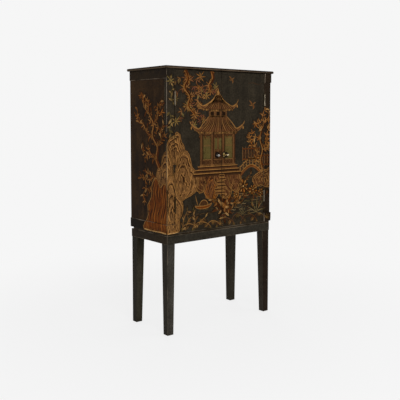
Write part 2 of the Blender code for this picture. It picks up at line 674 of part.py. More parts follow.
def make_lock(door, axis):
    """A cut cupboard lock let into the back of the right door, open at the edge for its bolt."""
    half = LOCK_HEIGHT / 2
    recess_half = half + JOINT_GAP
    recess_far = LOCK_EDGE + LOCK_WIDTH + JOINT_GAP
    cut_box(door, "lock_recess", (-MEETING_GAP, LOCK_FRONT, HANDLE_LEVEL - recess_half),
            (recess_far, DOOR_BACK + LOCK_DEPTH, HANDLE_LEVEL + recess_half), axis)
    cut_keyhole(door, "door_keyhole", FRONT - LOCK_DEPTH, LOCK_FRONT + LOCK_WALL, axis)

    lock = board("lock_case", (LOCK_EDGE, LOCK_FRONT + JOINT_GAP, HANDLE_LEVEL - half),
                 (LOCK_EDGE + LOCK_WIDTH, DOOR_BACK, HANDLE_LEVEL + half), STEEL, 0.0, parent=axis)
    room_front = BOLT_FRONT - SLIDE_CLEARANCE
    room_back = BOLT_BACK + SLIDE_CLEARANCE
    cut_box(lock, "bolt_channel", (-MEETING_GAP, room_front, BOLT_LOW - SLIDE_CLEARANCE),
            (BOLT_END + BOLT_LENGTH + SLIDE_CLEARANCE, room_back, BOLT_HIGH + SLIDE_CLEARANCE), axis)
    cut_rod(lock, "bit_chamber", (KEY_X, (room_front + room_back) / 2, HANDLE_LEVEL),
            KEY_BIT_RADIUS + 2 * SLIDE_CLEARANCE, room_back - room_front, "Y", axis)
    cut_keyhole(lock, "lock_keyhole", LOCK_FRONT - LOCK_WALL, room_front + SLIDE_CLEARANCE, axis)

    bolt_low = (BOLT_END, BOLT_FRONT, BOLT_LOW)
    bolt_axis = axis_empty("lock_bolt_axis", bolt_low, axis)
    bolt = board("lock_bolt", bolt_low, (BOLT_END + BOLT_LENGTH, BOLT_BACK, BOLT_HIGH), STEEL, 0.0,
                 parent=bolt_axis)
    # The talon is the notch that the bit of the key works in.
    talon = (TALON_X - TALON_WIDTH / 2, BOLT_FRONT - LOCK_WALL, BOLT_LOW - LOCK_WALL)
    talon_far = (TALON_X + TALON_WIDTH / 2, BOLT_BACK + LOCK_WALL, BOLT_LOW + TALON_DEPTH)
    cut_box(bolt, "talon", talon, talon_far, bolt_axis)

    plate = rod_mesh("escutcheon", ESCUTCHEON_WIDTH / 2, ESCUTCHEON_THICKNESS, "Y", OVAL_SIDES)
    plate.transform(Matrix.Diagonal((1.0, 1.0, ESCUTCHEON_HEIGHT / ESCUTCHEON_WIDTH, 1.0)))
    plate_y = FRONT - JOINT_GAP - ESCUTCHEON_THICKNESS / 2
    escutcheon = add_part("escutcheon", plate, BRASS, (KEY_X, plate_y, HANDLE_LEVEL), axis)
    soften(escutcheon, ESCUTCHEON_THICKNESS / 3)
    cut_keyhole(escutcheon, "escutcheon_keyhole", plate_y - LOCK_WALL, plate_y + LOCK_WALL, axis)
    return lock


def make_key(axis):
    """A pin key: stem, collar, ring bow in front and a bit inside the lock, leaning at its unlocked angle."""
    key_axis = Vector((KEY_X, FRONT, HANDLE_LEVEL))
    turning = axis_empty("key_axis", key_axis, axis)
    stem_front = -JOINT_GAP - ESCUTCHEON_THICKNESS - KEY_STEM
    stem_back = BOLT_BACK - FRONT
    lean = Matrix.Rotation(KEY_REST_ANGLE, 4, "Y")

    def leaning(mesh, out, up=0.0):
        """Leans a mesh that stands at a depth and a height, and gives it with its world point."""
        mesh.transform(lean)
        return mesh, key_axis + lean @ Vector((0.0, out, up))

    stem, spot = leaning(rod_mesh("key", KEY_RADIUS, stem_back - stem_front, "Y", FINE_SIDES),
                         (stem_front + stem_back) / 2)
    key = add_part("key", stem, BRASS, spot, turning)
    collar, spot = leaning(rod_mesh("key_collar", KEY_COLLAR_RADIUS, KEY_COLLAR_LENGTH, "Y", FINE_SIDES),
                           stem_front + KEY_STEM / 2)
    combine(key, add_cutter("key_collar", collar, spot, turning), "UNION")

    bpy.ops.mesh.primitive_torus_add(major_radius=KEY_BOW_RADIUS, minor_radius=KEY_BOW_WIRE,
                                     major_segments=ROUND_SIDES, minor_segments=WIRE_SIDES)
    ring = bpy.context.object
    bow = ring.data.copy()
    bpy.data.objects.remove(ring, do_unlink=True)
    bow.transform(Matrix.Rotation(math.pi / 2, 4, "Y"))
    smooth(bow)
    bow, spot = leaning(bow, stem_front - KEY_BOW_RADIUS + KEY_BOW_WIRE / 2)
    combine(key, add_cutter("key_bow", bow, spot, turning), "UNION")

    bit_low = KEY_RADIUS / 2
    bit_depth = BOLT_BACK - BOLT_FRONT - 2 * SLIDE_CLEARANCE
    bit, spot = leaning(box_mesh("key_bit", (KEY_BIT_WIDTH, bit_depth, KEY_BIT_RADIUS - bit_low)),
                        (BOLT_FRONT + BOLT_BACK) / 2 - FRONT, (KEY_BIT_RADIUS + bit_low) / 2)
    combine(key, add_cutter("key_bit", bit, spot, turning), "UNION")
    return key


def make_strike(door, axis):
    """The slotted plate in the edge of the left door that receives the lock's bolt."""
    middle_z = (BOLT_LOW + BOLT_HIGH) / 2
    middle_y = (BOLT_FRONT + BOLT_BACK) / 2
    edge = -MEETING_GAP / 2
    half_z = STRIKE_HEIGHT / 2
    half_y = STRIKE_WIDTH / 2
    recess_y = half_y + JOINT_GAP
    recess_z = half_z + JOINT_GAP
    recess_floor = edge - STRIKE_THICKNESS - JOINT_GAP
    cut_box(door, "strike_recess", (recess_floor, middle_y - recess_y, middle_z - recess_z),
            (edge + MEETING_GAP, middle_y + recess_y, middle_z + recess_z), axis)
    slot_y = (BOLT_BACK - BOLT_FRONT) / 2 + SLIDE_CLEARANCE
    slot_z = BOLT_HEIGHT / 2 + SLIDE_CLEARANCE
    mortise_floor = recess_floor - BOLT_TRAVEL
    cut_box(door, "strike_mortise", (mortise_floor, middle_y - slot_y, middle_z - slot_z),
            (edge, middle_y + slot_y, middle_z + slot_z), axis)
    strike = board("lock_strike", (edge - STRIKE_THICKNESS, middle_y - half_y, middle_z - half_z),
                   (edge, middle_y + half_y, middle_z + half_z), BRASS, 0.0, parent=axis)
    cut_box(strike, "strike_slot", (edge - 2 * STRIKE_THICKNESS, middle_y - slot_y, middle_z - slot_z),
            (edge + STRIKE_THICKNESS, middle_y + slot_y, middle_z + slot_z), axis)
    return strike


# The slide bolts of the left door.


def make_slide_bolt(level_name, up, stop_face, receiver, axis):
    """A rod in two guides on a plate, which slides into the board above or below the left door's inside."""
    x = -SLIDE_OFFSET
    y = DOOR_BACK + JOINT_GAP + SLIDE_AXIS_DEPTH
    tip = stop_face - up * SLIDE_START
    plate_end = stop_face - up * SLIDE_PLATE_OFFSET
    plate_far = plate_end - up * SLIDE_PLATE_LENGTH
    low_z, high_z = sorted((plate_end, plate_far))
    near = DOOR_BACK + JOINT_GAP
    plate = board(f"bolt_plate_{level_name}", (x - SLIDE_PLATE_WIDTH / 2, near, low_z),
                  (x + SLIDE_PLATE_WIDTH / 2, near + SLIDE_PLATE_THICKNESS, high_z), BRASS, 0.0, parent=axis)
    guide_back = y + SLIDE_GUIDE_WIDTH / 2
    for guide in (0, 1):
        start = plate_end if guide == 0 else plate_far + up * SLIDE_GUIDE_LENGTH
        stop = start - up * SLIDE_GUIDE_LENGTH
        low_g, high_g = sorted((start - up * SLIDE_CLEARANCE, stop + up * SLIDE_CLEARANCE))
        join_box(plate, f"bolt_guide_{level_name}_{guide}",
                 (x - SLIDE_GUIDE_WIDTH / 2, near + SLIDE_PLATE_THICKNESS / 2, low_g),
                 (x + SLIDE_GUIDE_WIDTH / 2, guide_back, high_g), axis)
    rod_middle = tip - up * SLIDE_ROD_LENGTH / 2
    cut_rod(plate, f"bolt_bore_{level_name}", (x, y, rod_middle), SLIDE_ROD_RADIUS + SLIDE_CLEARANCE,
            2 * SLIDE_ROD_LENGTH, "Z", axis)

    slide_axis = axis_empty(f"bolt_axis_{level_name}", (x, y, tip), axis)
    rod_name = f"bolt_rod_{level_name}"
    shaft = rod_mesh(rod_name, SLIDE_ROD_RADIUS, SLIDE_ROD_LENGTH, "Z", FINE_SIDES)
    rod = add_part(rod_name, shaft, BRASS, (x, y, rod_middle), slide_axis)
    thumb_z = (plate_end + plate_far) / 2 - up * SLIDE_TRAVEL / 2
    join_rod(rod, f"bolt_thumb_{level_name}", (x, y + SLIDE_THUMB_LENGTH / 2 + SLIDE_ROD_RADIUS / 2, thumb_z),
             SLIDE_THUMB_RADIUS, SLIDE_THUMB_LENGTH, "Y", slide_axis, FINE_SIDES)
    cut_rod(receiver, f"bolt_hole_{level_name}", (x, y, stop_face), SLIDE_HOLE_RADIUS, 2 * SLIDE_TRAVEL, "Z")
    return rod


def make_doors(boards):
    axes = {}
    doors = {}
    for side_name, side in SIDES.items():
        axes[side_name] = axis_empty(f"door_axis_{side_name}", (side * HINGE_X, HINGE_Y, DOOR_BOTTOM))
        doors[side_name] = make_door(side_name, side, axes[side_name])
        for level_name, level in HINGE_LEVELS.items():
            make_hinge(level_name, level, side_name, side, axes[side_name])
        make_knob(side_name, side, axes[side_name])
    make_lock(doors["right"], axes["right"])
    make_key(axes["right"])
    make_strike(doors["left"], axes["left"])
    make_slide_bolt("upper", 1, INNER_TOP_LOW, boards["inner_top"], axes["left"])
    make_slide_bolt("lower", -1, BOTTOM_BOARD_LOW + BOARD_THICKNESS, boards["case_bottom"], axes["left"])


make_stand()
make_doors(make_case())
bpy.context.view_layer.update()
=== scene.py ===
# %% [markdown]
# # A lacquered television cabinet on a stand
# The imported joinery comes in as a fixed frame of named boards, hinges and fittings, in metres. What
# follows dresses that frame: finishes for boards and metal, raised gilding on doors and sides, and
# small screws. No board is moved, so every piece goes where the frame says.

# %% Load the frame
import json
import math
import random

import bmesh
import bpy
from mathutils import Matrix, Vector
from mathutils.geometry import tessellate_polygon


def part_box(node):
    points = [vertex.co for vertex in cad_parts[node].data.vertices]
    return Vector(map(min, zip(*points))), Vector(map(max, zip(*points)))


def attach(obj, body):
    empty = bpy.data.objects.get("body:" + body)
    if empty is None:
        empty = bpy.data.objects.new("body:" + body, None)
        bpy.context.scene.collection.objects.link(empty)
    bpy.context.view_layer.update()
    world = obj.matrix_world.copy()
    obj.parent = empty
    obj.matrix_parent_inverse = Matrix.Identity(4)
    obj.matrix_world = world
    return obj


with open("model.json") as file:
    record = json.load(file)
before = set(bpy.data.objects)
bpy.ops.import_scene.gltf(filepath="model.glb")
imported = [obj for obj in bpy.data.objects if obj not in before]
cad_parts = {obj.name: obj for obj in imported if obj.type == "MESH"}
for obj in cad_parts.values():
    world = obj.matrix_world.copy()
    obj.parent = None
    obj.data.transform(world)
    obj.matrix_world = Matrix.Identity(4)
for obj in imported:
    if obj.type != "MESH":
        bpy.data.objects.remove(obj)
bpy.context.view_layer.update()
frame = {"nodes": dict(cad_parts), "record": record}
nodes = frame["nodes"]
scene = bpy.context.scene
MM = 0.001

# %% [markdown]
# ## The viewpoint
# A camera can be placed by eye or worked out from the picture. The lines of a box that run away from us
# meet at vanishing points, and those give the direction and the lens, so the camera's numbers come from
# such a fit. The frame is shifted a little, because the picture was cropped below the middle of its
# lens.

# %% Camera
CAMERA_PLACE = (-2.478, -3.0726, 1.2234)
CAMERA_YAW = math.radians(38.695)
CAMERA_PITCH = math.radians(-4.611)
LENS = 58.745
SENSOR = 36.0
FRAME_DROP = -0.0769

lens = bpy.data.cameras.new("viewpoint")
lens.sensor_width = SENSOR
lens.lens = LENS
lens.shift_y = FRAME_DROP
viewpoint = bpy.data.objects.new("viewpoint", lens)
viewpoint.location = CAMERA_PLACE
viewpoint.rotation_euler = (math.pi / 2 + CAMERA_PITCH, 0, -CAMERA_YAW)
scene.collection.objects.link(viewpoint)
scene.camera = viewpoint
scene.view_settings.view_transform = "Standard"
print("camera", [round(c, 2) for c in viewpoint.location], "lens", LENS)

# %% [markdown]
# ## Node helpers
# Finishes and studio are built from nodes, and a node tree written out link by link is hard to read.
# These helpers add a node or two each and feed their inputs from numbers or from other sockets, so a
# finish below reads as a recipe.


# %% Helpers for values
def feed(tree, socket, value):
    """Links a socket to this one, or sets its value."""
    if isinstance(value, bpy.types.NodeSocket):
        tree.links.new(value, socket)
    else:
        socket.default_value = value


def add_node(tree, kind, options=None, **inputs):
    """Adds a node, sets its options and feeds its inputs by name."""
    made = tree.nodes.new(kind)
    for option, value in (options or {}).items():
        setattr(made, option, value)
    for name, value in inputs.items():
        feed(tree, made.inputs[name.replace("_", " ")], value)
    return made


def calc(tree, operation, *values, kind="ShaderNodeMath"):
    """One step of arithmetic."""
    made = add_node(tree, kind, {"operation": operation})
    for socket, value in zip(made.inputs, values):
        feed(tree, socket, value)
    return made.outputs[0]


def times(tree, first, second):
    """The product of two values."""
    return calc(tree, "MULTIPLY", first, second)


def vector_calc(tree, operation, first, second):
    """One step of arithmetic on vectors."""
    return calc(tree, operation, first, second, kind="ShaderNodeVectorMath")


def axis(tree, vector, name):
    """One axis of a vector."""
    return add_node(tree, "ShaderNodeSeparateXYZ", Vector=vector).outputs[name]


def place_on(tree, space="Object"):
    """Where a point of the surface is."""
    return tree.nodes.new("ShaderNodeTexCoord").outputs[space]


def grade(tree, value, low, high, to_low=0.0, to_high=1.0):
    """Carries a value smoothly from one range to another."""
    made = add_node(tree, "ShaderNodeMapRange", {"interpolation_type": "SMOOTHSTEP"})
    for socket, number in zip(made.inputs, (value, low, high, to_low, to_high)):
        feed(tree, socket, number)
    return made.outputs[0]


print("helpers for values ready")


# %% Helpers for colours and groups
def mix_colors(tree, factor, first, second, mode="MIX"):
    """Mixes two colours by a factor."""
    made = add_node(tree, "ShaderNodeMix", {"data_type": "RGBA", "blend_type": mode})
    for index, value in ((0, factor), (6, first), (7, second)):
        feed(tree, made.inputs[index], value)
    return made.outputs[2]


def dimmed(tree, color, share):
    """A colour with all its channels multiplied by one value."""
    grey = add_node(tree, "ShaderNodeCombineColor", Red=share, Green=share, Blue=share).outputs[0]
    return mix_colors(tree, 1.0, color, grey, "MULTIPLY")


def noise(tree, place, scale, detail, roughness=0.55):
    """Cloudy noise from 0 to 1 at a place."""
    return add_node(tree, "ShaderNodeTexNoise", Vector=place, Scale=scale, Detail=detail,
                    Roughness=roughness).outputs[0]


def linear(*channels):
    """A colour given as screen values from 0 to 255, as Blender's linear colour."""
    shares = [c / 255 for c in channels]
    return tuple(s / 12.92 if s <= 0.04045 else ((s + 0.055) / 1.055) ** 2.4 for s in shares) + (1.0,)


def make_group(name, inputs, outputs, kind="ShaderNodeTree"):
    """A node group with named sockets. Gives the tree, its inputs and its outputs."""
    tree = bpy.data.node_groups.new(name, kind)
    for label, value_kind, *value in inputs:
        socket = tree.interface.new_socket(label, in_out="INPUT", socket_type="NodeSocket" + value_kind)
        if value:
            socket.default_value = value[0]
    for label, value_kind in outputs:
        tree.interface.new_socket(label, in_out="OUTPUT", socket_type="NodeSocket" + value_kind)
    return tree, tree.nodes.new("NodeGroupInput").outputs, tree.nodes.new("NodeGroupOutput").inputs


def place_group(tree, group, **inputs):
    """Puts a group in a material and feeds its inputs by name."""
    return add_node(tree, "ShaderNodeGroup", {"node_tree": group}, **inputs).outputs


print("helpers for colours and groups ready")


# %% Helpers for finishes and objects
def new_finish(name):
    """A material with a Principled shader. Gives the material and its tree."""
    material = bpy.data.materials.new(name)
    material.use_nodes = True
    return material, material.node_tree


def dress(tree, color, roughness, height, bump, **levels):
    """Feeds a material's shader. The bump is a strength and a depth."""
    strength, depth = bump
    raised = add_node(tree, "ShaderNodeBump", Strength=strength, Distance=depth, Height=height).outputs[0]
    levels.update(Base_Color=color, Roughness=roughness, Normal=raised)
    for name, value in levels.items():
        feed(tree, tree.nodes["Principled BSDF"].inputs[name.replace("_", " ")], value)


def paint(node_name, finish):
    """Gives a node of the frame its finish."""
    nodes[node_name].data.materials.clear()
    nodes[node_name].data.materials.append(finish)


def longest_fit(name, table):
    """What a table says of the longest start of a name, or None."""
    fits = [start for start in table if name.startswith(start)]
    return table[max(fits, key=len)] if fits else None


def add_object(name, mesh):
    """A new object in the scene."""
    made = bpy.data.objects.new(name, mesh)
    scene.collection.objects.link(made)
    return made


SURFACE = [("Color", "Color"), ("Roughness", "Float"), ("Height", "Float")]
print("a surface group gives", [label for label, kind in SURFACE])

# %% [markdown]
# ## The studio
# The cabinet stands on a seamless pale sheet under broad soft lamps. What the lens sees of sheet and
# room is one off-white, set by the kind of ray, so the lamps need not burn it out. Mirrored rays that
# go to the front find a dim room instead, where the sheet ends, so that brass shows the lamps as
# glints. The floor still takes a part of its colour from real light, which leaves the soft shadow under
# the feet.

# %% Studio
WHITE = (1, 1, 1, 1)
PAPER_WHITE = 0.921
ROOM_LIGHT = 0.62
ROOM_MIRRORED = 0.03
DIM_ROOM = (0.10, -0.30)
FLOOR_REACH = 14.0
FLOOR_LEVEL = -0.0004
FLOOR_COLOR = (0.86, 0.86, 0.86, 1)
SHEET_END = (-0.7, -1.3)
SHADOW_SHARE = 0.16
SHADOW_REACH = (0.6, 2.2)
LAMP_AIM = Vector((0.0, 0.0, 0.85))
LAMPS = {
    "key_lamp": ((-1.4, -3.7, 2.9), 2.2, 66.0),
    "fill_lamp": ((2.7, -2.9, 2.0), 2.0, 26.0),
    "back_lamp": ((2.0, 2.8, 2.6), 1.8, 22.0),
}


def seen_rays(tree):
    """1 for the rays of the lens, of mirrors and of glass, 0 for the light that falls on surfaces."""
    path = tree.nodes.new("ShaderNodeLightPath").outputs
    mirrored = calc(tree, "MAXIMUM", path["Is Glossy Ray"], path["Is Transmission Ray"])
    return calc(tree, "MAXIMUM", path["Is Camera Ray"], mirrored)


def seen_level(tree, to_front):
    """The brightness of sheet and room, which is low for mirrored rays to the front."""
    mirrored = tree.nodes.new("ShaderNodeLightPath").outputs["Is Glossy Ray"]
    return grade(tree, times(tree, to_front, mirrored), 0.0, 1.0, PAPER_WHITE, ROOM_MIRRORED)


def end_mixed(tree, share, first, second, end):
    """Ends a tree with a mix of two shaders."""
    mixed = add_node(tree, "ShaderNodeMixShader", Fac=share)
    tree.links.new(first.outputs[0], mixed.inputs[1])
    tree.links.new(second.outputs[0], mixed.inputs[2])
    tree.links.new(mixed.outputs[0], tree.nodes.new(end).inputs["Surface"])


world = bpy.data.worlds.new("studio")
world.use_nodes = True
scene.world = world
tree = world.node_tree
tree.nodes.clear()
to_front = grade(tree, axis(tree, place_on(tree, "Generated"), "Y"), *DIM_ROOM)
room = add_node(tree, "ShaderNodeBackground", Color=WHITE, Strength=ROOM_LIGHT)
paper = add_node(tree, "ShaderNodeBackground", Color=WHITE, Strength=seen_level(tree, to_front))
end_mixed(tree, seen_rays(tree), room, paper, "ShaderNodeOutputWorld")
print("room light", ROOM_LIGHT, "paper white", PAPER_WHITE)

# %% Floor and lamps
bpy.ops.mesh.primitive_circle_add(vertices=64, radius=FLOOR_REACH, fill_type="NGON",
                                  location=(0, 0, FLOOR_LEVEL))
floor = bpy.context.object
floor.name = "studio_floor"
paper_floor, tree = new_finish("paper_floor")
tree.nodes.clear()
around = place_on(tree)
past_sheet = grade(tree, axis(tree, around, "Y"), *SHEET_END)
lit = add_node(tree, "ShaderNodeBsdfDiffuse", Color=FLOOR_COLOR)
glow = add_node(tree, "ShaderNodeEmission", Color=WHITE, Strength=seen_level(tree, past_sheet))
distance = add_node(tree, "ShaderNodeVectorMath", {"operation": "LENGTH"}, Vector=around).outputs["Value"]
shadow = grade(tree, distance, *SHADOW_REACH, SHADOW_SHARE, 0.0)
glow_share = times(tree, seen_rays(tree), calc(tree, "SUBTRACT", 1.0, shadow))
end_mixed(tree, glow_share, lit, glow, "ShaderNodeOutputMaterial")
floor.data.materials.append(paper_floor)

for lamp_name, (lamp_place, lamp_size, lamp_power) in LAMPS.items():
    lamp = bpy.data.lights.new(lamp_name, "AREA")
    lamp.shape = "SQUARE"
    lamp.size = lamp_size
    lamp.energy = lamp_power
    holder = add_object(lamp_name, lamp)
    holder.location = lamp_place
    holder.rotation_euler = (LAMP_AIM - Vector(lamp_place)).to_track_quat("-Z", "Y").to_euler()
print("studio:", len(LAMPS), "lamps over a floor", 2 * FLOOR_REACH, "m wide")

# %% [markdown]
# ## Worn edges
# Lacquer is thin on an arris, so years of dusting rub the corners of every board through to the pale
# ground. A shader can find corners by the mesh's pointiness, but these boards are plain boxes with few
# vertices. So the group measures how far a point is from each pair of faces of its board's box: the
# second smallest of the three distances is how far it is from the nearest edge. Noise breaks the line
# up.

# %% Worn edges group
worn_edges, given, result = make_group(
    "worn edges",
    [("Low", "Vector", (0, 0, 0)), ("High", "Vector", (1, 1, 1)), ("Width", "Float", 0.002),
     ("Patch Scale", "Float", 9.0)],
    [("Mask", "Float")],
)
tree = worn_edges
here = place_on(tree)
from_low = vector_calc(tree, "SUBTRACT", here, given["Low"])
from_high = vector_calc(tree, "SUBTRACT", given["High"], here)
nearest = vector_calc(tree, "MINIMUM", from_low, from_high)
across, along, up = (axis(tree, nearest, name) for name in "XYZ")
longer = calc(tree, "MAXIMUM", across, along)
to_edge = calc(tree, "MAXIMUM", calc(tree, "MINIMUM", across, along), calc(tree, "MINIMUM", longer, up))
patches = grade(tree, noise(tree, here, given["Patch Scale"], 4.0), 0.34, 0.62, 0.15, 1.5)
chips = grade(tree, noise(tree, here, 240.0, 2.0), 0.3, 0.7, 0.55, 1.25)
rubbed = times(tree, times(tree, given["Width"], patches), chips)
feed(tree, result["Mask"], grade(tree, to_edge, rubbed, 0.0))
print("group:", worn_edges.name)

# %% [markdown]
# ## Aged lacquer
# Old brown-black lacquer is never one colour. It has faded in clouds, shows the brush strokes of its
# ground as faint upright streaks, carries specks of dust and has a net of hairline cracks. Each of
# these is a noise at its own scale. The group gives the colour, the roughness and a height for the
# bump.

# %% Aged lacquer group
CRACK_COLOR = (0.004, 0.003, 0.002, 1)
DUST_COLOR = (0.16, 0.14, 0.11, 1)
aged_lacquer, given, result = make_group(
    "aged lacquer",
    [("Base Color", "Color", (0.02, 0.02, 0.02, 1)), ("Faded Color", "Color", (0.05, 0.04, 0.03, 1)),
     ("Cloud Scale", "Float", 6.0), ("Streaks", "Vector", (40, 40, 2.5)), ("Gloss", "Float", 0.42)],
    SURFACE,
)
tree = aged_lacquer
here = place_on(tree)
clouds = grade(tree, noise(tree, here, given["Cloud Scale"], 5.0, 0.6), 0.36, 0.68)
brushed = noise(tree, vector_calc(tree, "MULTIPLY", here, given["Streaks"]), 1.0, 4.0)
streaks = grade(tree, brushed, 0.35, 0.75)
specks = grade(tree, noise(tree, here, 420.0, 1.0), 0.70, 0.80)
drawn_out = vector_calc(tree, "MULTIPLY", here, (1.0, 1.0, 0.45))
cracks = add_node(tree, "ShaderNodeTexVoronoi", {"feature": "DISTANCE_TO_EDGE"}, Vector=drawn_out,
                  Scale=95.0).outputs["Distance"]
cracked = grade(tree, noise(tree, here, 14.0, 3.0), 0.5, 0.66)
crack_lines = times(tree, grade(tree, cracks, 0.018, 0.0), cracked)
fading = calc(tree, "ADD", times(tree, clouds, 0.55), times(tree, streaks, 0.35))
shade = mix_colors(tree, fading, given["Base Color"], given["Faded Color"])
shade = mix_colors(tree, times(tree, crack_lines, 0.45), shade, CRACK_COLOR)
shade = mix_colors(tree, times(tree, specks, 0.16), shade, DUST_COLOR)
mottle = grade(tree, noise(tree, here, 125.0, 3.0, 0.6), 0.3, 0.7, 0.70, 1.32)
feed(tree, result["Color"], dimmed(tree, shade, mottle))
dulled = calc(tree, "MULTIPLY_ADD", clouds, 0.14, given["Gloss"])
feed(tree, result["Roughness"], calc(tree, "MULTIPLY_ADD", crack_lines, 0.25, dulled))
ripple = calc(tree, "MULTIPLY_ADD", brushed, 0.5, times(tree, noise(tree, here, 34.0, 2.0), 0.8))
feed(tree, result["Height"], calc(tree, "SUBTRACT", ripple, times(tree, crack_lines, 0.9)))
print("group:", aged_lacquer.name)

# %% [markdown]
# ## Lacquer on each board
# Every board gets a material of its own, because the worn edges need its box. The doors and stiles are
# olive black, the sides and the top have browned, and the stand is greyer. The corners of the case are
# pale along their arrises. The top's front edge has a brown band, partly wear and partly a painted
# highlight of its rounded nose, less and less to the right. The legs carry painted light: each is a
# lighter or darker copy of the stand's lacquer, with its front faces painted lighter or darker than its
# sides. Some edges were never rubbed, because another board covers them, so the box for their wear
# reaches far past the board there. Each kind has a base, a faded and an edge colour in screen values,
# the width of its wear in millimetres, and what is special about it.

# %% Kinds of lacquer
LACQUERS = {
    "doors": ((33, 28, 20), (52, 45, 34), (84, 70, 52), 1.0, {}),
    "stiles": ((33, 28, 20), (52, 45, 34), (136, 122, 108), 2.2, {}),
    "right_stile": ((26, 18, 10), (44, 33, 22), (130, 112, 90), 1.4, {}),
    "returns": ((31, 26, 19), (50, 43, 33), (120, 106, 90), 1.6, {}),
    "right_returns": ((26, 18, 10), (44, 33, 22), (136, 122, 106), 7.0, {"unworn": ((0, 0, 1), (1, 0, 1))}),
    "case": ((24, 12, 3), (60, 42, 23), (132, 116, 94), 1.6, {}),
    "bands": ((24, 16, 8), (48, 36, 22), (120, 106, 92), 4.0, {"unworn": ((0, 1, 0), (0, 1, 1))}),
    "plinths": ((13, 8, 2), (31, 22, 11), (128, 114, 98), 4.6, {"unworn": ((0, 1, 1), (0, 1, 0))}),
    "top": ((22, 15, 9), (42, 31, 21), (80, 67, 53), 3.0,
            {"unworn": ((0, 0, 0), (0, 0, 1)), "highlight_and_wear_above": 0.45, "highlight_and_wear_to": 0.10}),
    "stand": ((39, 35, 28), (55, 51, 43), (96, 84, 68), 2.0, {}),
    "stand_side": ((33, 25, 15), (52, 43, 30), (110, 98, 82), 3.0, {}),
    # Painted light on the legs: each is a lighter or darker copy of the stand's lacquer, and its front
    # factor makes its front faces lighter or darker than its sides.
    "left_leg": ((36, 32, 26), (51, 47, 40), (100, 90, 76), 3.0, {"front": (1.70, 1.80, 1.95, 1)}),
    "back_leg": ((32, 29, 21), (46, 43, 35), (100, 90, 76), 3.0, {"front": (1.60, 1.60, 1.60, 1)}),
    "right_leg": ((44, 38, 31), (60, 54, 46), (104, 90, 70), 2.6, {"front": (0.56, 0.44, 0.38, 1)}),
}
BOARD_KINDS = {
    "door": "doors", "stile": "stiles", "stile_right": "right_stile", "side": "case", "top_board": "top",
    "frieze": "bands", "frieze_return_left": "returns", "frieze_return_right": "right_returns",
    "plinth": "plinths", "plinth_return_left": "returns", "plinth_return_right": "right_returns",
    "leg": "stand", "leg_front_left": "left_leg", "leg_back_left": "back_leg",
    "leg_front_right": "right_leg", "rail": "stand", "rail_left": "stand_side", "rail_right": "stand_side",
    "stand_deck": "stand_side",
}
print("kinds of lacquer:", len(LACQUERS))

# %% Lacquer finishes
ALL_WORN = ((0, 0, 0), (0, 0, 0))
FAR_EDGE = 1.0
HIGHLIGHT_AND_WEAR_LEFT = 0.35
WEAR_DULLS = 0.2
FLAT_BOARD = 0.06
LACQUER_SHEEN = 0.03
LACQUER_BUMP = (0.10, 0.001)
ALONG_X = (2.5, 40.0, 40.0)
ALONG_Z = (40.0, 40.0, 2.5)


def facing_front(tree):
    """1 on the faces that look to the front, 0 on the others."""
    outward = tree.nodes.new("ShaderNodeNewGeometry").outputs["Normal"]
    return grade(tree, axis(tree, outward, "Y"), -0.4, -0.8)


def lacquer_finish(name, low, high, kind):
    """The lacquer of one board, with worn edges on its own box."""
    base, faded, edge, width, special = LACQUERS[kind]
    finish, tree = new_finish("lacquer_" + name)
    coat = place_group(tree, aged_lacquer, Base_Color=linear(*base), Faded_Color=linear(*faded),
                       Streaks=ALONG_X if high.z - low.z < FLAT_BOARD else ALONG_Z)
    past_low, past_high = special.get("unworn", ALL_WORN)
    # On the top the band climbs the front edge to part of its height: partly wear, partly a painted
    # highlight of the rounded nose.
    foot = Vector((0, 0, special.get("highlight_and_wear_above", 0) * (high.z - low.z)))
    wear = place_group(tree, worn_edges, Low=low + foot - FAR_EDGE * Vector(past_low),
                       High=high + FAR_EDGE * Vector(past_high), Width=width * MM)["Mask"]
    # Painted highlight as well as wear: the band on the top's nose fades towards the right end.
    if "highlight_and_wear_to" in special:
        along = axis(tree, place_on(tree), "X")
        wear = times(tree, wear, grade(tree, along, special["highlight_and_wear_to"], high.x, 1.0, HIGHLIGHT_AND_WEAR_LEFT))
    shade = coat["Color"]
    # Painted light: the front faces are multiplied lighter or darker than the sides, as the lamps would
    # light them.
    if "front" in special:
        painted_face_light = mix_colors(tree, facing_front(tree), WHITE, special["front"])
        shade = mix_colors(tree, 1.0, shade, painted_face_light, "MULTIPLY")
    dress(tree, mix_colors(tree, wear, shade, linear(*edge)),
          calc(tree, "MULTIPLY_ADD", wear, WEAR_DULLS, coat["Roughness"]), coat["Height"], LACQUER_BUMP,
          Specular_IOR_Level=LACQUER_SHEEN)
    return finish


lacquered = [name for name in nodes if longest_fit(name, BOARD_KINDS)]
for name in lacquered:
    paint(name, lacquer_finish(name, *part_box(name), longest_fit(name, BOARD_KINDS)))
print("lacquered boards:", len(lacquered))

# %% [markdown]
# ## Stained boards inside
# The shelf, floor, ceiling and back are plain softwood, stained walnut brown and waxed. A noise drawn
# out along the grain gives the fibres, and a slow wave bent by noise gives the broad figure of the
# growth rings. The grain of a shelf runs along it, the grain of a back runs upright.

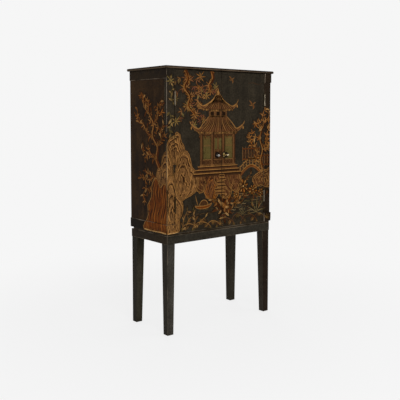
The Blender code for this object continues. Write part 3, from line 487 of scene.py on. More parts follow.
# %% Wood group and finish
wood_figure, given, result = make_group(
    "wood figure",
    [("Dark Color", "Color", (0.05, 0.03, 0.02, 1)), ("Light Color", "Color", (0.15, 0.08, 0.04, 1)),
     ("Grain", "Vector", (1, 18, 18))],
    SURFACE,
)
tree = wood_figure
here = place_on(tree)
grain_place = vector_calc(tree, "MULTIPLY", here, given["Grain"])
fibres = noise(tree, grain_place, 9.0, 5.0, 0.7)
bent = noise(tree, grain_place, 0.45, 3.0, 0.5)
rings = grade(tree, calc(tree, "SINE", times(tree, bent, 120.0)), -1.0, 1.0)
wood_tone = calc(tree, "ADD", times(tree, rings, 0.22), times(tree, fibres, 0.78))
stain = mix_colors(tree, grade(tree, wood_tone, 0.25, 0.85), given["Dark Color"], given["Light Color"])
blotches = grade(tree, noise(tree, here, 5.0, 3.0), 0.35, 0.7, 0.78, 1.04)
feed(tree, result["Color"], dimmed(tree, stain, blotches))
feed(tree, result["Roughness"], grade(tree, fibres, 0.2, 0.8, 0.62, 0.44))
feed(tree, result["Height"], fibres)

WOOD_DARK = linear(54, 33, 20)
WOOD_LIGHT = linear(108, 71, 44)
WOOD_RUBBED = linear(140, 98, 62)
WOOD_WEAR = 0.0016
WOOD_BUMP = (0.22, 0.0006)
WOOD_SHEEN = 0.3
ACROSS = (1, 18, 18)
UPRIGHT = (18, 18, 1)
INSIDE_BOARDS = {"case_bottom": ACROSS, "tv_shelf": ACROSS, "inner_top": ACROSS, "back_lower": UPRIGHT,
                 "back_upper": UPRIGHT}
for name, grain in INSIDE_BOARDS.items():
    finish, tree = new_finish("stained_" + name)
    wood = place_group(tree, wood_figure, Dark_Color=WOOD_DARK, Light_Color=WOOD_LIGHT, Grain=grain)
    low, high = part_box(name)
    rub = place_group(tree, worn_edges, Low=low, High=high, Width=WOOD_WEAR)["Mask"]
    shade = mix_colors(tree, rub, wood["Color"], WOOD_RUBBED)
    dress(tree, shade, wood["Roughness"], wood["Height"], WOOD_BUMP, Specular_IOR_Level=WOOD_SHEEN)
    paint(name, finish)
print("stained boards:", len(INSIDE_BOARDS))

# %% [markdown]
# ## Brass and steel
# Handled brass stays bright where fingers pass and browns in the hollows. One noise sets how far a spot
# has tarnished, and tarnish takes colour and gloss together. Steel has the same habit with other
# colours, so both share one group. The left knob has lost its gold, the lower left hinge was gilded
# over with the case, and the other hinges have dulled, so each has its own look: a bright colour, a
# tarnish, its amount and the gloss. The knob roses are near black, which is partly painted shade round
# the knobs.

# %% Metal group and finishes
aged_metal, given, result = make_group(
    "aged metal",
    [("Bright Color", "Color", (0.8, 0.6, 0.3, 1)), ("Tarnish Color", "Color", (0.2, 0.1, 0.05, 1)),
     ("Tarnish", "Float", 0.5), ("Gloss", "Float", 0.22)],
    SURFACE,
)
tree = aged_metal
here = place_on(tree)
stained = grade(tree, noise(tree, here, 130.0, 4.0, 0.65), 0.42, 0.72)
stained = times(tree, stained, given["Tarnish"])
feed(tree, result["Color"], mix_colors(tree, stained, given["Bright Color"], given["Tarnish Color"]))
feed(tree, result["Roughness"], calc(tree, "MULTIPLY_ADD", stained, 0.32, given["Gloss"]))
feed(tree, result["Height"], noise(tree, here, 900.0, 2.0))

METALS = {
    "brass": ((0.62, 0.46, 0.20, 1), (0.18, 0.10, 0.04, 1), 0.7, 0.26),
    "steel": ((0.50, 0.49, 0.48, 1), (0.18, 0.14, 0.11, 1), 0.7, 0.30),
    "dull_brass": ((0.80, 0.66, 0.42, 1), (0.16, 0.10, 0.05, 1), 0.4, 0.08),
    "pale_brass": ((0.46, 0.39, 0.28, 1), (0.20, 0.15, 0.09, 1), 0.9, 0.42),
    "faded_brass": ((0.38, 0.31, 0.22, 1), (0.17, 0.13, 0.08, 1), 0.9, 0.42),
    "dark_brass": ((0.12, 0.08, 0.035, 1), (0.05, 0.03, 0.014, 1), 0.9, 0.36),
    "black_iron": ((0.030, 0.027, 0.024, 1), (0.012, 0.010, 0.008, 1), 0.8, 0.45),
    "black_brass": ((0.78, 0.74, 0.68, 1), (0.06, 0.05, 0.05, 1), 0.3, 0.03),
}
# The knob roses are near black, partly as painted shade round the knobs.
WORN_METALS = {
    "knob_left": "black_brass", "knob_right": "dull_brass", "knob_rose": "black_iron",
    "hinge_lower_left": "dark_brass", "hinge_upper_left": "faded_brass", "hinge_lower_right": "pale_brass",
    "hinge_upper_right": "pale_brass", "hinge_upper_right_pin": "dark_brass",
    "hinge_lower_right_pin": "dark_brass",
}
METAL_BUMP = (0.05, 0.0002)
metal_finishes = {}
for metal, (bright, tarnish, amount, gloss) in METALS.items():
    metal_finishes[metal], tree = new_finish("aged_" + metal)
    skin = place_group(tree, aged_metal, Bright_Color=bright, Tarnish_Color=tarnish, Tarnish=amount,
                       Gloss=gloss)
    dress(tree, skin["Color"], skin["Roughness"], skin["Height"], METAL_BUMP, Metallic=1.0)
for part in frame["record"]["subparts"]:
    if part["material_slot"] in metal_finishes:
        metal = longest_fit(part["node"], WORN_METALS) or part["material_slot"]
        paint(part["node"], metal_finishes[metal])
print("metals:", sorted(metal_finishes))

# %% [markdown]
# ## Gilding finish
# The tone of each painted shape rides on its points as a colour, so one finish serves every shape. Over
# the tone goes what age does to gilding: rubbed patches that show the dark ground, a fine grain of
# metal powder and a soft uneven gloss.

# %% Gilding group and finish
POWDER = (0.78, 1.18)
rubbed_gilding, given, result = make_group(
    "rubbed gilding",
    [("Tone", "Color", (0.2, 0.12, 0.05, 1)), ("Ground Color", "Color", (0.02, 0.015, 0.01, 1)),
     ("Rubbing", "Float", 0.5)],
    SURFACE,
)
tree = rubbed_gilding
here = place_on(tree)
bare = grade(tree, noise(tree, here, 46.0, 5.0, 0.7), 0.52, 0.68)
bare = times(tree, bare, given["Rubbing"])
powder = grade(tree, noise(tree, here, 320.0, 2.0), 0.3, 0.7, *POWDER)
broad = grade(tree, noise(tree, here, 7.0, 3.0), 0.3, 0.7, 0.82, 1.14)
gold = dimmed(tree, given["Tone"], times(tree, powder, broad))
feed(tree, result["Color"], mix_colors(tree, bare, gold, given["Ground Color"]))
dusty = grade(tree, powder, *POWDER, 0.42, 0.58)
feed(tree, result["Roughness"], calc(tree, "MULTIPLY_ADD", bare, 0.15, dusty))
feed(tree, result["Height"], noise(tree, here, 210.0, 3.0))

GILDING_GROUND = linear(36, 24, 12)
GILDING_BUMP = (0.12, 0.0004)
GILDING_SHEEN = 0.03
gilding, tree = new_finish("gilding")
painted = add_node(tree, "ShaderNodeAttribute", {"attribute_name": "tone"}).outputs["Color"]
skin = place_group(tree, rubbed_gilding, Tone=painted, Ground_Color=GILDING_GROUND, Rubbing=0.5)
dress(tree, skin["Color"], skin["Roughness"], skin["Height"], GILDING_BUMP,
      Specular_IOR_Level=GILDING_SHEEN)
print("group:", rubbed_gilding.name)

# %% [markdown]
# ## Raised gilding
# Doors, stiles and sides carry a garden in the Chinese taste, as japanned furniture does: gesso is
# built up in low relief, gilded, and drawn over with darker lines. A painted texture would have no
# edges to catch the light. So the garden is drawn as flat shapes on an unfolded sheet, in millimetres.
# There u runs from the left side round the front corner (u = 0) and across the doors, and v is the
# height. Later the sheet is cut at every board's edge, folded round the case and given its thickness.

# %% Tones and levels
GOLD_PALE = linear(178, 138, 84)
GOLD_WARM = linear(156, 110, 58)
GOLD = linear(136, 95, 48)
AMBER = linear(140, 82, 27)
TAN = linear(116, 81, 45)
OCHRE = linear(104, 71, 38)
RUST = linear(96, 47, 9)
CLAY = linear(86, 53, 28)
BROWN = linear(62, 38, 18)
OLIVE = linear(84, 72, 36)
MOSS = linear(122, 106, 58)
MADDER = linear(104, 58, 38)
SAND = linear(132, 110, 74)
UMBER = linear(32, 17, 5)
WASH = 0.25
BEHIND = 0.30
BODY = 0.40
LINE = 0.55
RIDGE = 0.80
RIM_LIFT = 0.15
TONE_DRIFT = 0.12

ink = {"places": [], "faces": [], "tones": [], "heights": []}
hand = random.Random(11)
print("levels of the relief in mm:", WASH, BEHIND, BODY, LINE, RIDGE)


# %% Places and paths
def way(*numbers):
    """Places on the sheet, from u and v by turns."""
    return list(zip(numbers[::2], numbers[1::2]))


def shifted(places, by_u, by_v=0):
    """Places moved along the sheet."""
    return [(u + by_u, v + by_v) for u, v in places]


def on_circle(angle, radius):
    """A place on a circle round the origin."""
    return radius * math.cos(angle), radius * math.sin(angle)


def lay(places, faces, tone, height):
    """Lays shapes on the sheet in one tone, which drifts a little from shape to shape as a brush's does."""
    start = len(ink["places"])
    drift = 1 + hand.uniform(-TONE_DRIFT, TONE_DRIFT)
    ink["places"].extend(places)
    ink["faces"].extend(tuple(start + i for i in face) for face in faces)
    ink["tones"].extend([tuple(c * drift for c in tone[:3]) + (1.0,)] * len(places))
    ink["heights"].extend([height] * len(places))


def curve_through(points, steps, closed=False):
    """A smooth path through given points."""
    count = len(points)
    path = []
    for i in range(count if closed else count - 1):
        near = [(i + k) % count if closed else min(max(i + k, 0), count - 1) for k in (-1, 0, 1, 2)]
        a, b, c, d = (Vector(points[k]) for k in near)
        for step in range(steps):
            t = step / steps
            bend = (2 * a - 5 * b + 4 * c - d) * t * t + (3 * b - a - 3 * c + d) * t ** 3
            path.append(tuple(0.5 * (2 * b + (c - a) * t + bend)))
    return path if closed else path + [tuple(points[-1])]


print("a path in 4 steps has", len(curve_through(way(0, 0, 1, 0), 4)), "places")


# %% Brushes
def triangles(outline, scale):
    """The triangles that fill an outline, all turned to the front."""
    corners = [Vector((u * scale, v * scale)) for u, v in outline]
    made = []
    for a, b, c in tessellate_polygon([[corner.to_3d() for corner in corners]]):
        turn = (corners[b] - corners[a]).cross(corners[c] - corners[a])
        made.append((a, b, c) if turn > 0 else (a, c, b))
    return made


def fill(outline, tone, height):
    """A filled shape."""
    lay(outline, triangles(outline, MM), tone, height)


def stroke(points, widths, tone, height, steps=4, closed=False):
    """A brush stroke whose width runs from the first value through the second to the third."""
    path = curve_through(points, steps, closed)
    last = len(path) - 1
    edges = []
    for i, (u, v) in enumerate(path):
        before = path[i - 1] if closed else path[max(i - 1, 0)]
        after = path[(i + 1) % len(path)] if closed else path[min(i + 1, last)]
        along = Vector(after) - Vector(before)
        along = along.normalized() if along.length > 0 else Vector((1, 0))
        share = 2 * i / last
        width = widths[0] + (widths[1] - widths[0]) * share
        if share > 1:
            width = widths[1] + (widths[2] - widths[1]) * (share - 1)
        half = width / 2
        edges.append((u + along.y * half, v - along.x * half))
        edges.append((u - along.y * half, v + along.x * half))
    faces = [(2 * i, 2 * i + 2, 2 * i + 3, 2 * i + 1) for i in range(last)]
    if closed:
        faces.append((2 * last, 0, 1, 2 * last + 1))
    lay(edges, faces, tone, height)


def line(points, width, tone, height=LINE, steps=4):
    """A drawn line with pointed ends."""
    stroke(points, (0.3 * width, width, 0.3 * width), tone, height, steps)


def lines(paths, width, tone, height):
    """Many drawn lines."""
    for path in paths:
        line(path, width, tone, height)


def bar(points, width, tone, height=LINE, steps=1):
    """A line of even width."""
    stroke(points, (width, width, width), tone, height, steps)


def rim(outline, width, tone, height=LINE):
    """A line all round a shape."""
    stroke(outline, (width, width, width), tone, height, 1, True)


def shape(points, tone, rim_tone, rim_width, height=BODY, steps=4):
    """A smooth filled shape with a drawn edge."""
    outline = curve_through(points, steps, True)
    fill(outline, tone, height)
    rim(outline, rim_width, rim_tone, height + RIM_LIFT)


print("brushes ready")

# %% [markdown]
# ## Sprays
# Leaves, blossom and grass repeat along a twig, which is work for Geometry Nodes. One tree takes the
# twigs as edges, sets points along them, turns each point's stamp to one side and the other of the
# twig, and varies the size. Every use has its own stamp, spacing and seed.


# %% Helpers for Geometry Nodes
def random_value(tree, low, high, seed):
    """A value by chance for each point."""
    made = add_node(tree, "FunctionNodeRandomValue", {"data_type": "FLOAT"}, Seed=seed)
    feed(tree, made.inputs[2], low)
    feed(tree, made.inputs[3], high)
    return made.outputs[1]


def turned_about_z(tree, rotation, angle, space):
    """A rotation with a turn about Z added to it."""
    turn = add_node(tree, "FunctionNodeAxisAngleToRotation", Axis=(0, 0, 1), Angle=angle).outputs[0]
    return add_node(tree, "FunctionNodeRotateRotation", {"rotation_space": space}, Rotation=rotation,
                    Rotate_By=turn).outputs[0]


def set_on_points(tree, points, stamp, rotation, size):
    """An object's mesh on every point."""
    mesh = add_node(tree, "GeometryNodeObjectInfo", Object=stamp).outputs["Geometry"]
    return add_node(tree, "GeometryNodeInstanceOnPoints", Points=points, Instance=mesh, Rotation=rotation,
                    Scale=size).outputs[0]


def end_tree(tree, result, instances, material):
    """Ends a tree with instances made real, in a material."""
    real = add_node(tree, "GeometryNodeRealizeInstances", Geometry=instances).outputs[0]
    done = add_node(tree, "GeometryNodeSetMaterial", Geometry=real, Material=material).outputs[0]
    feed(tree, result[0], done)


def run_tree(start_mesh, tree, values):
    """The plain mesh that a tree makes of a start mesh."""
    holder = add_object("at_work", start_mesh)
    modifier = holder.modifiers.new("tree", "NODES")
    modifier.node_group = tree
    for item in tree.interface.items_tree:
        if item.in_out == "INPUT" and item.name in values:
            modifier[item.identifier] = values[item.name]
    made = bpy.data.meshes.new_from_object(holder.evaluated_get(bpy.context.evaluated_depsgraph_get()))
    holder.modifiers.remove(modifier)
    bpy.data.objects.remove(holder)
    return made


GEOMETRY = [("Geometry", "Geometry")]
print("tree helpers ready")

# %% Spray tree
spray_tree, given, result = make_group(
    "spray along twigs",
    GEOMETRY + [("Stamp", "Object"), ("Spacing", "Float"), ("Size", "Float"), ("Size Spread", "Float"),
                ("Lean", "Float"), ("Lean Spread", "Float"), ("Seed", "Int"), ("Material", "Material")],
    GEOMETRY, "GeometryNodeTree",
)
tree = spray_tree
twigs = add_node(tree, "GeometryNodeMeshToCurve", Mesh=given["Geometry"]).outputs[0]
spots = add_node(tree, "GeometryNodeCurveToPoints", {"mode": "LENGTH"}, Curve=twigs,
                 Length=given["Spacing"])
aligned = add_node(tree, "FunctionNodeAlignRotationToVector", {"axis": "X", "pivot_axis": "Z"},
                   Vector=spots.outputs["Tangent"]).outputs[0]
seeds = [calc(tree, "ADD", given["Seed"], float(offset)) for offset in range(3)]
by_turns = calc(tree, "MODULO", tree.nodes.new("GeometryNodeInputIndex").outputs[0], 2.0)
either_side = calc(tree, "MULTIPLY_ADD", by_turns, 2.0, -1.0)
wobble = times(tree, random_value(tree, -1.0, 1.0, seeds[0]), given["Lean Spread"])
lean = calc(tree, "MULTIPLY_ADD", either_side, given["Lean"], wobble)
leaning = turned_about_z(tree, aligned, lean, "GLOBAL")
spread = times(tree, random_value(tree, -1.0, 1.0, seeds[1]), given["Size Spread"])
size = calc(tree, "MULTIPLY_ADD", spread, given["Size"], given["Size"])
sprayed = set_on_points(tree, spots.outputs[0], given["Stamp"], leaning, size)
shaded = add_node(tree, "GeometryNodeStoreNamedAttribute", {"data_type": "FLOAT", "domain": "INSTANCE"},
                  Geometry=sprayed, Name="shade", Value=random_value(tree, 0.0, 1.0, seeds[2])).outputs[0]
end_tree(tree, result, shaded, given["Material"])
print("tree:", spray_tree.name)

# %% Stamps
LEAF_HALF = way(0, 0.01, 0.22, 0.04, 0.55, 0.05, 1, 0, 0.55, 0.155, 0.22, 0.11)
RIPPLE = way(0, 0, 0.3, 0.05, 0.7, 0.05, 1, 0, 0.7, 0.015, 0.3, 0.015)
BLADE_FANS = {"fan": (1, 56, 0.12, 0.075, 0.06), "tuft": (2, 26, 0.1, 0.050, 0.06),
              "reed": (3, 27, 0.1, 0.019, 0.10)}
STAR_LENGTHS = (1.0, 0.66, 0.88, 1.0, 0.66, 0.88, 1.0)
BLOSSOM_POINTS = 20


def make_stamp(name, outlines):
    """A flat stamp one unit long, pointing along u."""
    corners = []
    faces = []
    for outline in outlines:
        start = len(corners)
        corners.extend((u, v, 0) for u, v in outline)
        faces.extend(tuple(start + i for i in face) for face in triangles(outline, 1))
    mesh = bpy.data.meshes.new(name)
    mesh.from_pydata(corners, [], faces)
    return add_object(name, mesh)


def blade(angle, length, half, curl=0.0):
    """One pointed blade of a stamp, turned from u by an angle."""
    cos, sin = on_circle(angle, 1)
    points = way(0, -half * 0.4, 0.5 * length, -half + 0.4 * curl, length, curl,
                 0.5 * length, half + 0.4 * curl, 0, half * 0.4)
    return [(u * cos - v * sin, u * sin + v * cos) for u, v in points]


def blossom_edge(angle):
    """A place on the edge of a flower with five petals."""
    return on_circle(angle, 0.5 * (0.62 + 0.38 * abs(math.sin(2.5 * angle))))


outlines = {
    "leaf": [LEAF_HALF, [(u, -v) for u, v in LEAF_HALF]],
    "blossom": [[blossom_edge(math.tau * k / BLOSSOM_POINTS) for k in range(BLOSSOM_POINTS)]],
    "star": [blade(math.tau * k / 7, length, 0.055) for k, length in enumerate(STAR_LENGTHS)],
    "ripple": [RIPPLE],
}
for name, (reach, turn, shrink, half, curl) in BLADE_FANS.items():
    outlines[name] = [blade(math.radians(turn * k), 1.0 - shrink * abs(k), half, curl * k)
                      for k in range(-reach, reach + 1)]
stamps = {name: make_stamp(name, drawn) for name, drawn in outlines.items()}
print("stamps:", sorted(stamps))

# %% Sprays
TWIG_STEPS = 6
SHADE_SIZE = 1.4
SHADE_DROP = 0.1


def spray(paths, stamp, spacing, size, lean, tones, height, seed, size_spread=0.3, lean_spread=0.35):
    """Sprays a stamp along twigs in two mixed tones, over the same stamps drawn larger and dark."""
    places = []
    edges = []
    for path in paths:
        start = len(places)
        places.extend((u, v, 0) for u, v in curve_through(path, TWIG_STEPS))
        edges.extend((i, i + 1) for i in range(start, len(places) - 1))
    twigs = bpy.data.meshes.new("twigs")
    twigs.from_pydata(places, edges, [])
    settings = {"Stamp": stamps[stamp], "Spacing": spacing, "Size Spread": size_spread, "Lean": lean,
                "Lean Spread": lean_spread, "Seed": seed, "Material": gilding}
    shade = (SHADE_SIZE, SHADE_DROP, (UMBER, UMBER))
    for growth, drop, (first, second) in (shade, (1.0, 0.0, tones)):
        made = run_tree(twigs, spray_tree, {**settings, "Size": size * growth})
        start = len(ink["places"])
        shares = [item.value for item in made.attributes["shade"].data]
        ink["places"].extend((v.co.x, v.co.y) for v in made.vertices)
        ink["faces"].extend(tuple(start + i for i in face.vertices) for face in made.polygons)
        ink["tones"].extend(tuple(Vector(first).lerp(Vector(second), s)) for s in shares)
        ink["heights"].extend([height - drop] * len(made.vertices))
        bpy.data.meshes.remove(made)


print("a spray's shade is", SHADE_SIZE, "times as large")

# %% [markdown]
# ## The rocky bank
# Crags wrap the lower left corner and are the heaviest mass of gold on the cabinet. The old painters
# drew a rock as an edge, hatching that runs downhill, and contours that shrink towards its heart, each
# a dark line with a light one beside it. A nearer crag is laid higher than the one behind, so that it
# covers it as gesso does.

# %% Hatching
HATCH_WAVE = 150
HATCH_SWAY = 0.35
HATCH_WAVER = 0.12
HATCH_MARGIN = 0.3
HATCH_UNEVEN = 0.06
HATCH_WIDTHS = (0.8, 1.2)
HATCH_MARKS = ((1.1, 0.03), (0.8, 0.06))
STIPPLE = {"pitch": 12.0, "step": 8.0, "breaks": 0.34, "width": 5.6}
STREAKS = {"pitch": 24.0, "step": 16.0, "breaks": 0.07, "width": 8.6}


def inside(place, outline):
    """Whether a place on the sheet is inside an outline."""
    u, v = place
    odd = False
    for (u0, v0), (u1, v1) in zip(outline, outline[1:] + outline[:1]):
        if (v0 > v) != (v1 > v) and u < u0 + (v - v0) / (v1 - v0) * (u1 - u0):
            odd = not odd
    return odd


def hatch(outline, style, lean, light, dark, height):
    """A dark and a light line by turns, which run downhill side by side and are lifted here and there."""
    low_u, high_u = min(p[0] for p in outline), max(p[0] for p in outline)
    low_v, high_v = min(p[1] for p in outline), max(p[1] for p in outline)
    spread = (abs(lean) + HATCH_MARGIN) * (high_v - low_v)
    phase = hand.uniform(0, math.tau)
    for k in range(int(2 * (high_u - low_u + 2 * spread) / style["pitch"])):
        tone = (dark, light)[k % 2]
        wide, lift = HATCH_MARKS[k % 2]
        u = low_u - spread + (0.5 * k + hand.gauss(0, HATCH_UNEVEN)) * style["pitch"]
        v = high_v
        path = []
        while v > low_v:
            sway = HATCH_SWAY * math.sin(math.tau * v / HATCH_WAVE + phase) + hand.gauss(0, HATCH_WAVER)
            u += style["step"] * (lean + sway)
            v -= style["step"]
            if inside((u, v), outline) and hand.random() > style["breaks"]:
                path.append((u, v))
                continue
            if len(path) > 1:
                line(path, style["width"] * wide * hand.uniform(*HATCH_WIDTHS), tone, height + lift, 1)
            path = []


print("hatching: a dark and a light line to every", STIPPLE["pitch"], "or", STREAKS["pitch"], "mm")

# %% Crags
CRAG_STEP = 0.18
CRAG_WAVER = 1.5
CONTOURS = (0.84, 0.62, 0.40)
CONTOUR_WAVER = 3.0
CONTOUR_LIGHT = 0.055
CONTOUR_MARKS = ((1.1, 0.09), (0.7, 0.11))
RIM_MARKS = ((1.2, 0.12), (0.6, 0.14))
HEART_DRIFT = (8, 6)
BELOW_HEART = 10


def shrunk(points, heart, share):
    """Places drawn in towards a heart."""
    return [(heart[0] + share * (u - heart[0]), heart[1] + share * (v - heart[1])) for u, v in points]


def wavered(points, spread):
    """Places as an unsteady hand sets them."""
    return [(u + hand.gauss(0, spread), v + hand.gauss(0, spread)) for u, v in points]


def crag(points, heart, tones, level, lean, style=STIPPLE, contours=CONTOURS):
    """A rock in a body, a light and a dark tone: hatched, with broken contours and a drawn edge."""
    body, light, dark = tones
    width = style["width"]
    face = WASH + CRAG_STEP * level
    outline = wavered(curve_through(points, 2, True), CRAG_WAVER)
    fill(outline, body, face)
    hatch(outline, style, lean, light, dark, face)
    upper = [p for p in outline if p[1] >= heart[1] - BELOW_HEART]
    for share in contours:
        centre = tuple(at + hand.gauss(0, drift) for at, drift in zip(heart, HEART_DRIFT))
        bent = wavered(shrunk(upper, centre, share), CONTOUR_WAVER)
        for mark, (wide, lift) in zip((dark, light), CONTOUR_MARKS):
            first = hand.randint(0, len(bent) // 3)
            stop = hand.randint(first + len(bent) // 2, len(bent))
            edge = shrunk(bent, centre, 1.0 if mark is dark else 1 + CONTOUR_LIGHT / share)
            line(edge[first:stop], wide * width, mark, face + lift, 2)
    for mark, (wide, lift) in zip((dark, GOLD), RIM_MARKS):
        rim(outline, wide * width, mark, face + lift)
    return face


print("contours of a crag:", CONTOURS)

# %% Bank at the corner
PEAK = way(6, 980, 0, 1060, 22, 1105, 50, 1118, 66, 1140, 92, 1122, 100, 1080, 124, 1050, 116, 1000,
           80, 960)
SHOULDER = way(-100, 800, -104, 868, -86, 930, -52, 944, -40, 1000, -10, 1030, 20, 1010, 40, 940, 20, 840)
LEDGE = way(40, 840, 60, 940, 100, 1024, 140, 1030, 164, 984, 176, 936, 206, 914, 224, 858, 196, 796,
            136, 768, 80, 760)
ROOT = way(-215, 572, -205, 622, -180, 664, -186, 716, -152, 768, -142, 832, -116, 878, -86, 866, -62, 826,
           -36, 852, -4, 846, 0, 780, 0, 660, 0, 572)
BUTTRESS = way(0, 572, 0, 690, 0, 800, 4, 870, 26, 902, 56, 860, 70, 800, 100, 760, 112, 700, 86, 650,
               88, 610, 72, 572)
FOOT = [way(-214, 580, -130, 577, -60, 580, -4, 577), way(4, 577, 74, 580)]
ROOT_HEART = (30, 420)
TAN_ROCK = (OCHRE, GOLD_WARM, UMBER)
RED_ROCK = (RUST, AMBER, UMBER)
PALE_ROCK = (TAN, GOLD_WARM, UMBER)
DARK_ROCK = (CLAY, GOLD, UMBER)
BURNT_ROCK = (CLAY, AMBER, UMBER)
crag(PEAK, (55, 985), TAN_ROCK, 0, 0.25)
crag(SHOULDER, (-30, 840), TAN_ROCK, 1, -0.15)
crag(LEDGE, (85, 800), TAN_ROCK, 2, -0.35)
crag(ROOT, ROOT_HEART, RED_ROCK, 3, -0.12, STREAKS, ())
buttress_face = crag(BUTTRESS, (30, 600), PALE_ROCK, 4, 0.10)
line(way(2.6, 850, 2.6, 950, 2.6, 1070), 4, GOLD_PALE, buttress_face, 1)
for path in FOOT:
    bar(path, 6, GOLD_PALE, buttress_face + 0.2, 4)
spray(FOOT, "tuft", 20, 22, 1.5, (AMBER, GOLD), buttress_face + 0.25, 74, 0.4, 0.4)
print("bank:", len(ink["faces"]), "faces on the sheet")

# %% [markdown]
# ## Trees on the bank
# An old plum leans out of the bank on the left side, and boughs hang into the left door from above. A
# limb is a tapering stroke with a dark line down its shaded side and a lit edge. Leaves and stars of
# leaves are sprays laid over one another, the darkest one lowest.

# %% Plum tree
PLUM_TRUNK = way(-58, 925, -98, 985, -84, 1055, -132, 1115, -122, 1185, -170, 1250, -166, 1318)
PLUM_TWIGS = [
    way(-98, 985, -150, 1012, -196, 1004, -246, 1040), way(-84, 1055, -50, 1090, -52, 1140, -30, 1180),
    way(-132, 1115, -190, 1134, -222, 1180, -276, 1196, -286, 1262),
    way(-122, 1185, -80, 1222, -84, 1268, -56, 1306), way(-170, 1250, -214, 1276, -222, 1330),
    way(-110, 880, -176, 902, -214, 872, -262, 876), way(-150, 800, -196, 812, -232, 776),
]


def limb(path, thick, thin, tone):
    """A limb with a dark side and a lit edge."""
    stroke(path, (thick, 0.6 * (thick + thin), thin), tone, BODY)
    line(shifted(path, 0.24 * thick), 0.36 * thick, UMBER, LINE)
    line(shifted(path, -0.26 * thick), 0.30 * thick, GOLD, RIDGE)
    stroke(path, (1.3 * thick, 0.8 * (thick + thin), 1.5 * thin), UMBER, BODY - SHADE_DROP)


def side_twigs(paths, every, length, seed):
    """Short twigs that leave longer ones to one side and the other."""
    chance = random.Random(seed)
    made = []
    for path in paths:
        course = curve_through(path, 8)
        side = 1
        for k in range(3, len(course) - 1, every):
            root = Vector(course[k])
            along = (Vector(course[k + 1]) - root).normalized()
            reach = length * chance.uniform(0.7, 1.3)
            out = Vector((-along.y, along.x)) * side
            bend = root + reach * (0.4 * along + 0.3 * out)
            tip = root + reach * (0.6 * along + 0.8 * out)
            made.append([course[k], tuple(bend), tuple(tip)])
            side = -side
    return made


def leafy_tree(trunk, twigs, seed):
    """A plum with leaves on every twig."""
    for twig in twigs:
        limb(twig, 13, 5, RUST)
    limb(trunk, 26, 10, RUST)
    shoots = side_twigs(twigs + [trunk[2:]], 6, 30, seed)
    lines(shoots, 5, RUST, BODY)
    spray(shoots, "fan", 34, 34, 0.3, (AMBER, GOLD_WARM), BODY, seed)
    spray(shoots, "leaf", 16, 24, 0.7, (RUST, AMBER), LINE, seed + 1)
    spray(twigs, "leaf", 34, 28, 0.8, (GOLD_PALE, AMBER), RIDGE, seed + 2)


leafy_tree(PLUM_TRUNK, PLUM_TWIGS, 21)
print("plum twigs:", len(PLUM_TWIGS))

# %% Boughs and creeper
BOUGHS = [way(128, 1482, 146, 1432, 122, 1386, 160, 1336, 150, 1282, 196, 1236),
          way(318, 1482, 326, 1440, 300, 1404, 308, 1372)]
BOUGH_TWIGS = [
    way(146, 1432, 100, 1440, 66, 1412, 30, 1418), way(146, 1432, 196, 1428, 236, 1448),
    way(122, 1386, 82, 1362, 62, 1316), way(122, 1386, 176, 1392, 222, 1384),
    way(160, 1336, 208, 1352, 246, 1330, 280, 1342), way(150, 1282, 108, 1264, 96, 1222, 64, 1198),
    way(150, 1282, 196, 1300, 236, 1286), way(196, 1236, 236, 1240, 258, 1208),
    way(196, 1236, 178, 1204, 192, 1176), way(300, 1404, 262, 1396, 244, 1372),
    way(308, 1372, 332, 1352, 346, 1392),
]
CREEPER = [way(18, 1250, 32, 1200, 20, 1150, 36, 1110), way(44, 1290, 30, 1340, 44, 1390)]
for path in BOUGHS:
    limb(path, 20, 9, RUST)
lines(BOUGH_TWIGS, 6, BROWN, BEHIND)
bough_shoots = side_twigs(BOUGH_TWIGS, 7, 26, 30)
lines(bough_shoots, 4, BROWN, BEHIND)
spray(BOUGH_TWIGS, "star", 66, 37, 0.6, (AMBER, MOSS), BEHIND + 0.02, 31, 0.2)
spray(bough_shoots, "fan", 30, 32, 0.3, (MADDER, GOLD), BEHIND + 0.04, 33, 0.2)
spray(BOUGH_TWIGS, "leaf", 58, 25, 0.9, (MADDER, MOSS), BEHIND + 0.06, 34)
spray(BOUGHS, "leaf", 34, 26, 0.9, (RUST, GOLD), RIDGE, 35)
lines(CREEPER, 5, OLIVE, BODY)
spray(CREEPER, "leaf", 19, 29, 0.8, (GOLD_PALE, OLIVE), LINE, 36)
print("bough twigs:", len(BOUGH_TWIGS))

# %% [markdown]
# ## The garden house
# A small open house with a sweeping roof stands on a stone terrace over a rockery. Everything is set
# out from the middle of its terrace, so it can be moved as one. Straight parts are filled shapes, and
# tiles, lattice and joints are lines.

# %% Helpers for the house
HOUSE_MIDDLE = 366
HOUSE_BASE = 938


def house(*numbers):
    """Places given from the middle of the terrace, as u and v by turns."""
    return shifted(way(*numbers), HOUSE_MIDDLE, HOUSE_BASE)


def oblong(low_u, low_v, high_u, high_v):
    """The corners of an upright rectangle on the house."""
    return house(low_u, low_v, high_u, low_v, high_u, high_v, low_u, high_v)


def slab(low_u, low_v, high_u, high_v, tone, height=WASH):
    """A filled rectangle on the house."""
    fill(oblong(low_u, low_v, high_u, high_v), tone, height)


def lattice(low, high, columns, tone, width=3.0):
    """Crossed bars between two rails."""
    (low_u, low_v), (high_u, high_v) = low, high
    step = (high_u - low_u) / columns
    for k in range(columns):
        left = low_u + k * step
        line([(left, low_v), (left + step, high_v)], width, tone, LINE, 1)
        line([(left, high_v), (left + step, low_v)], width, tone, LINE, 1)
    for level in (low_v, high_v):
        bar([(low_u, level), (high_u, level)], 1.3 * width, tone)


print("the terrace's middle is at", house(0, 0))


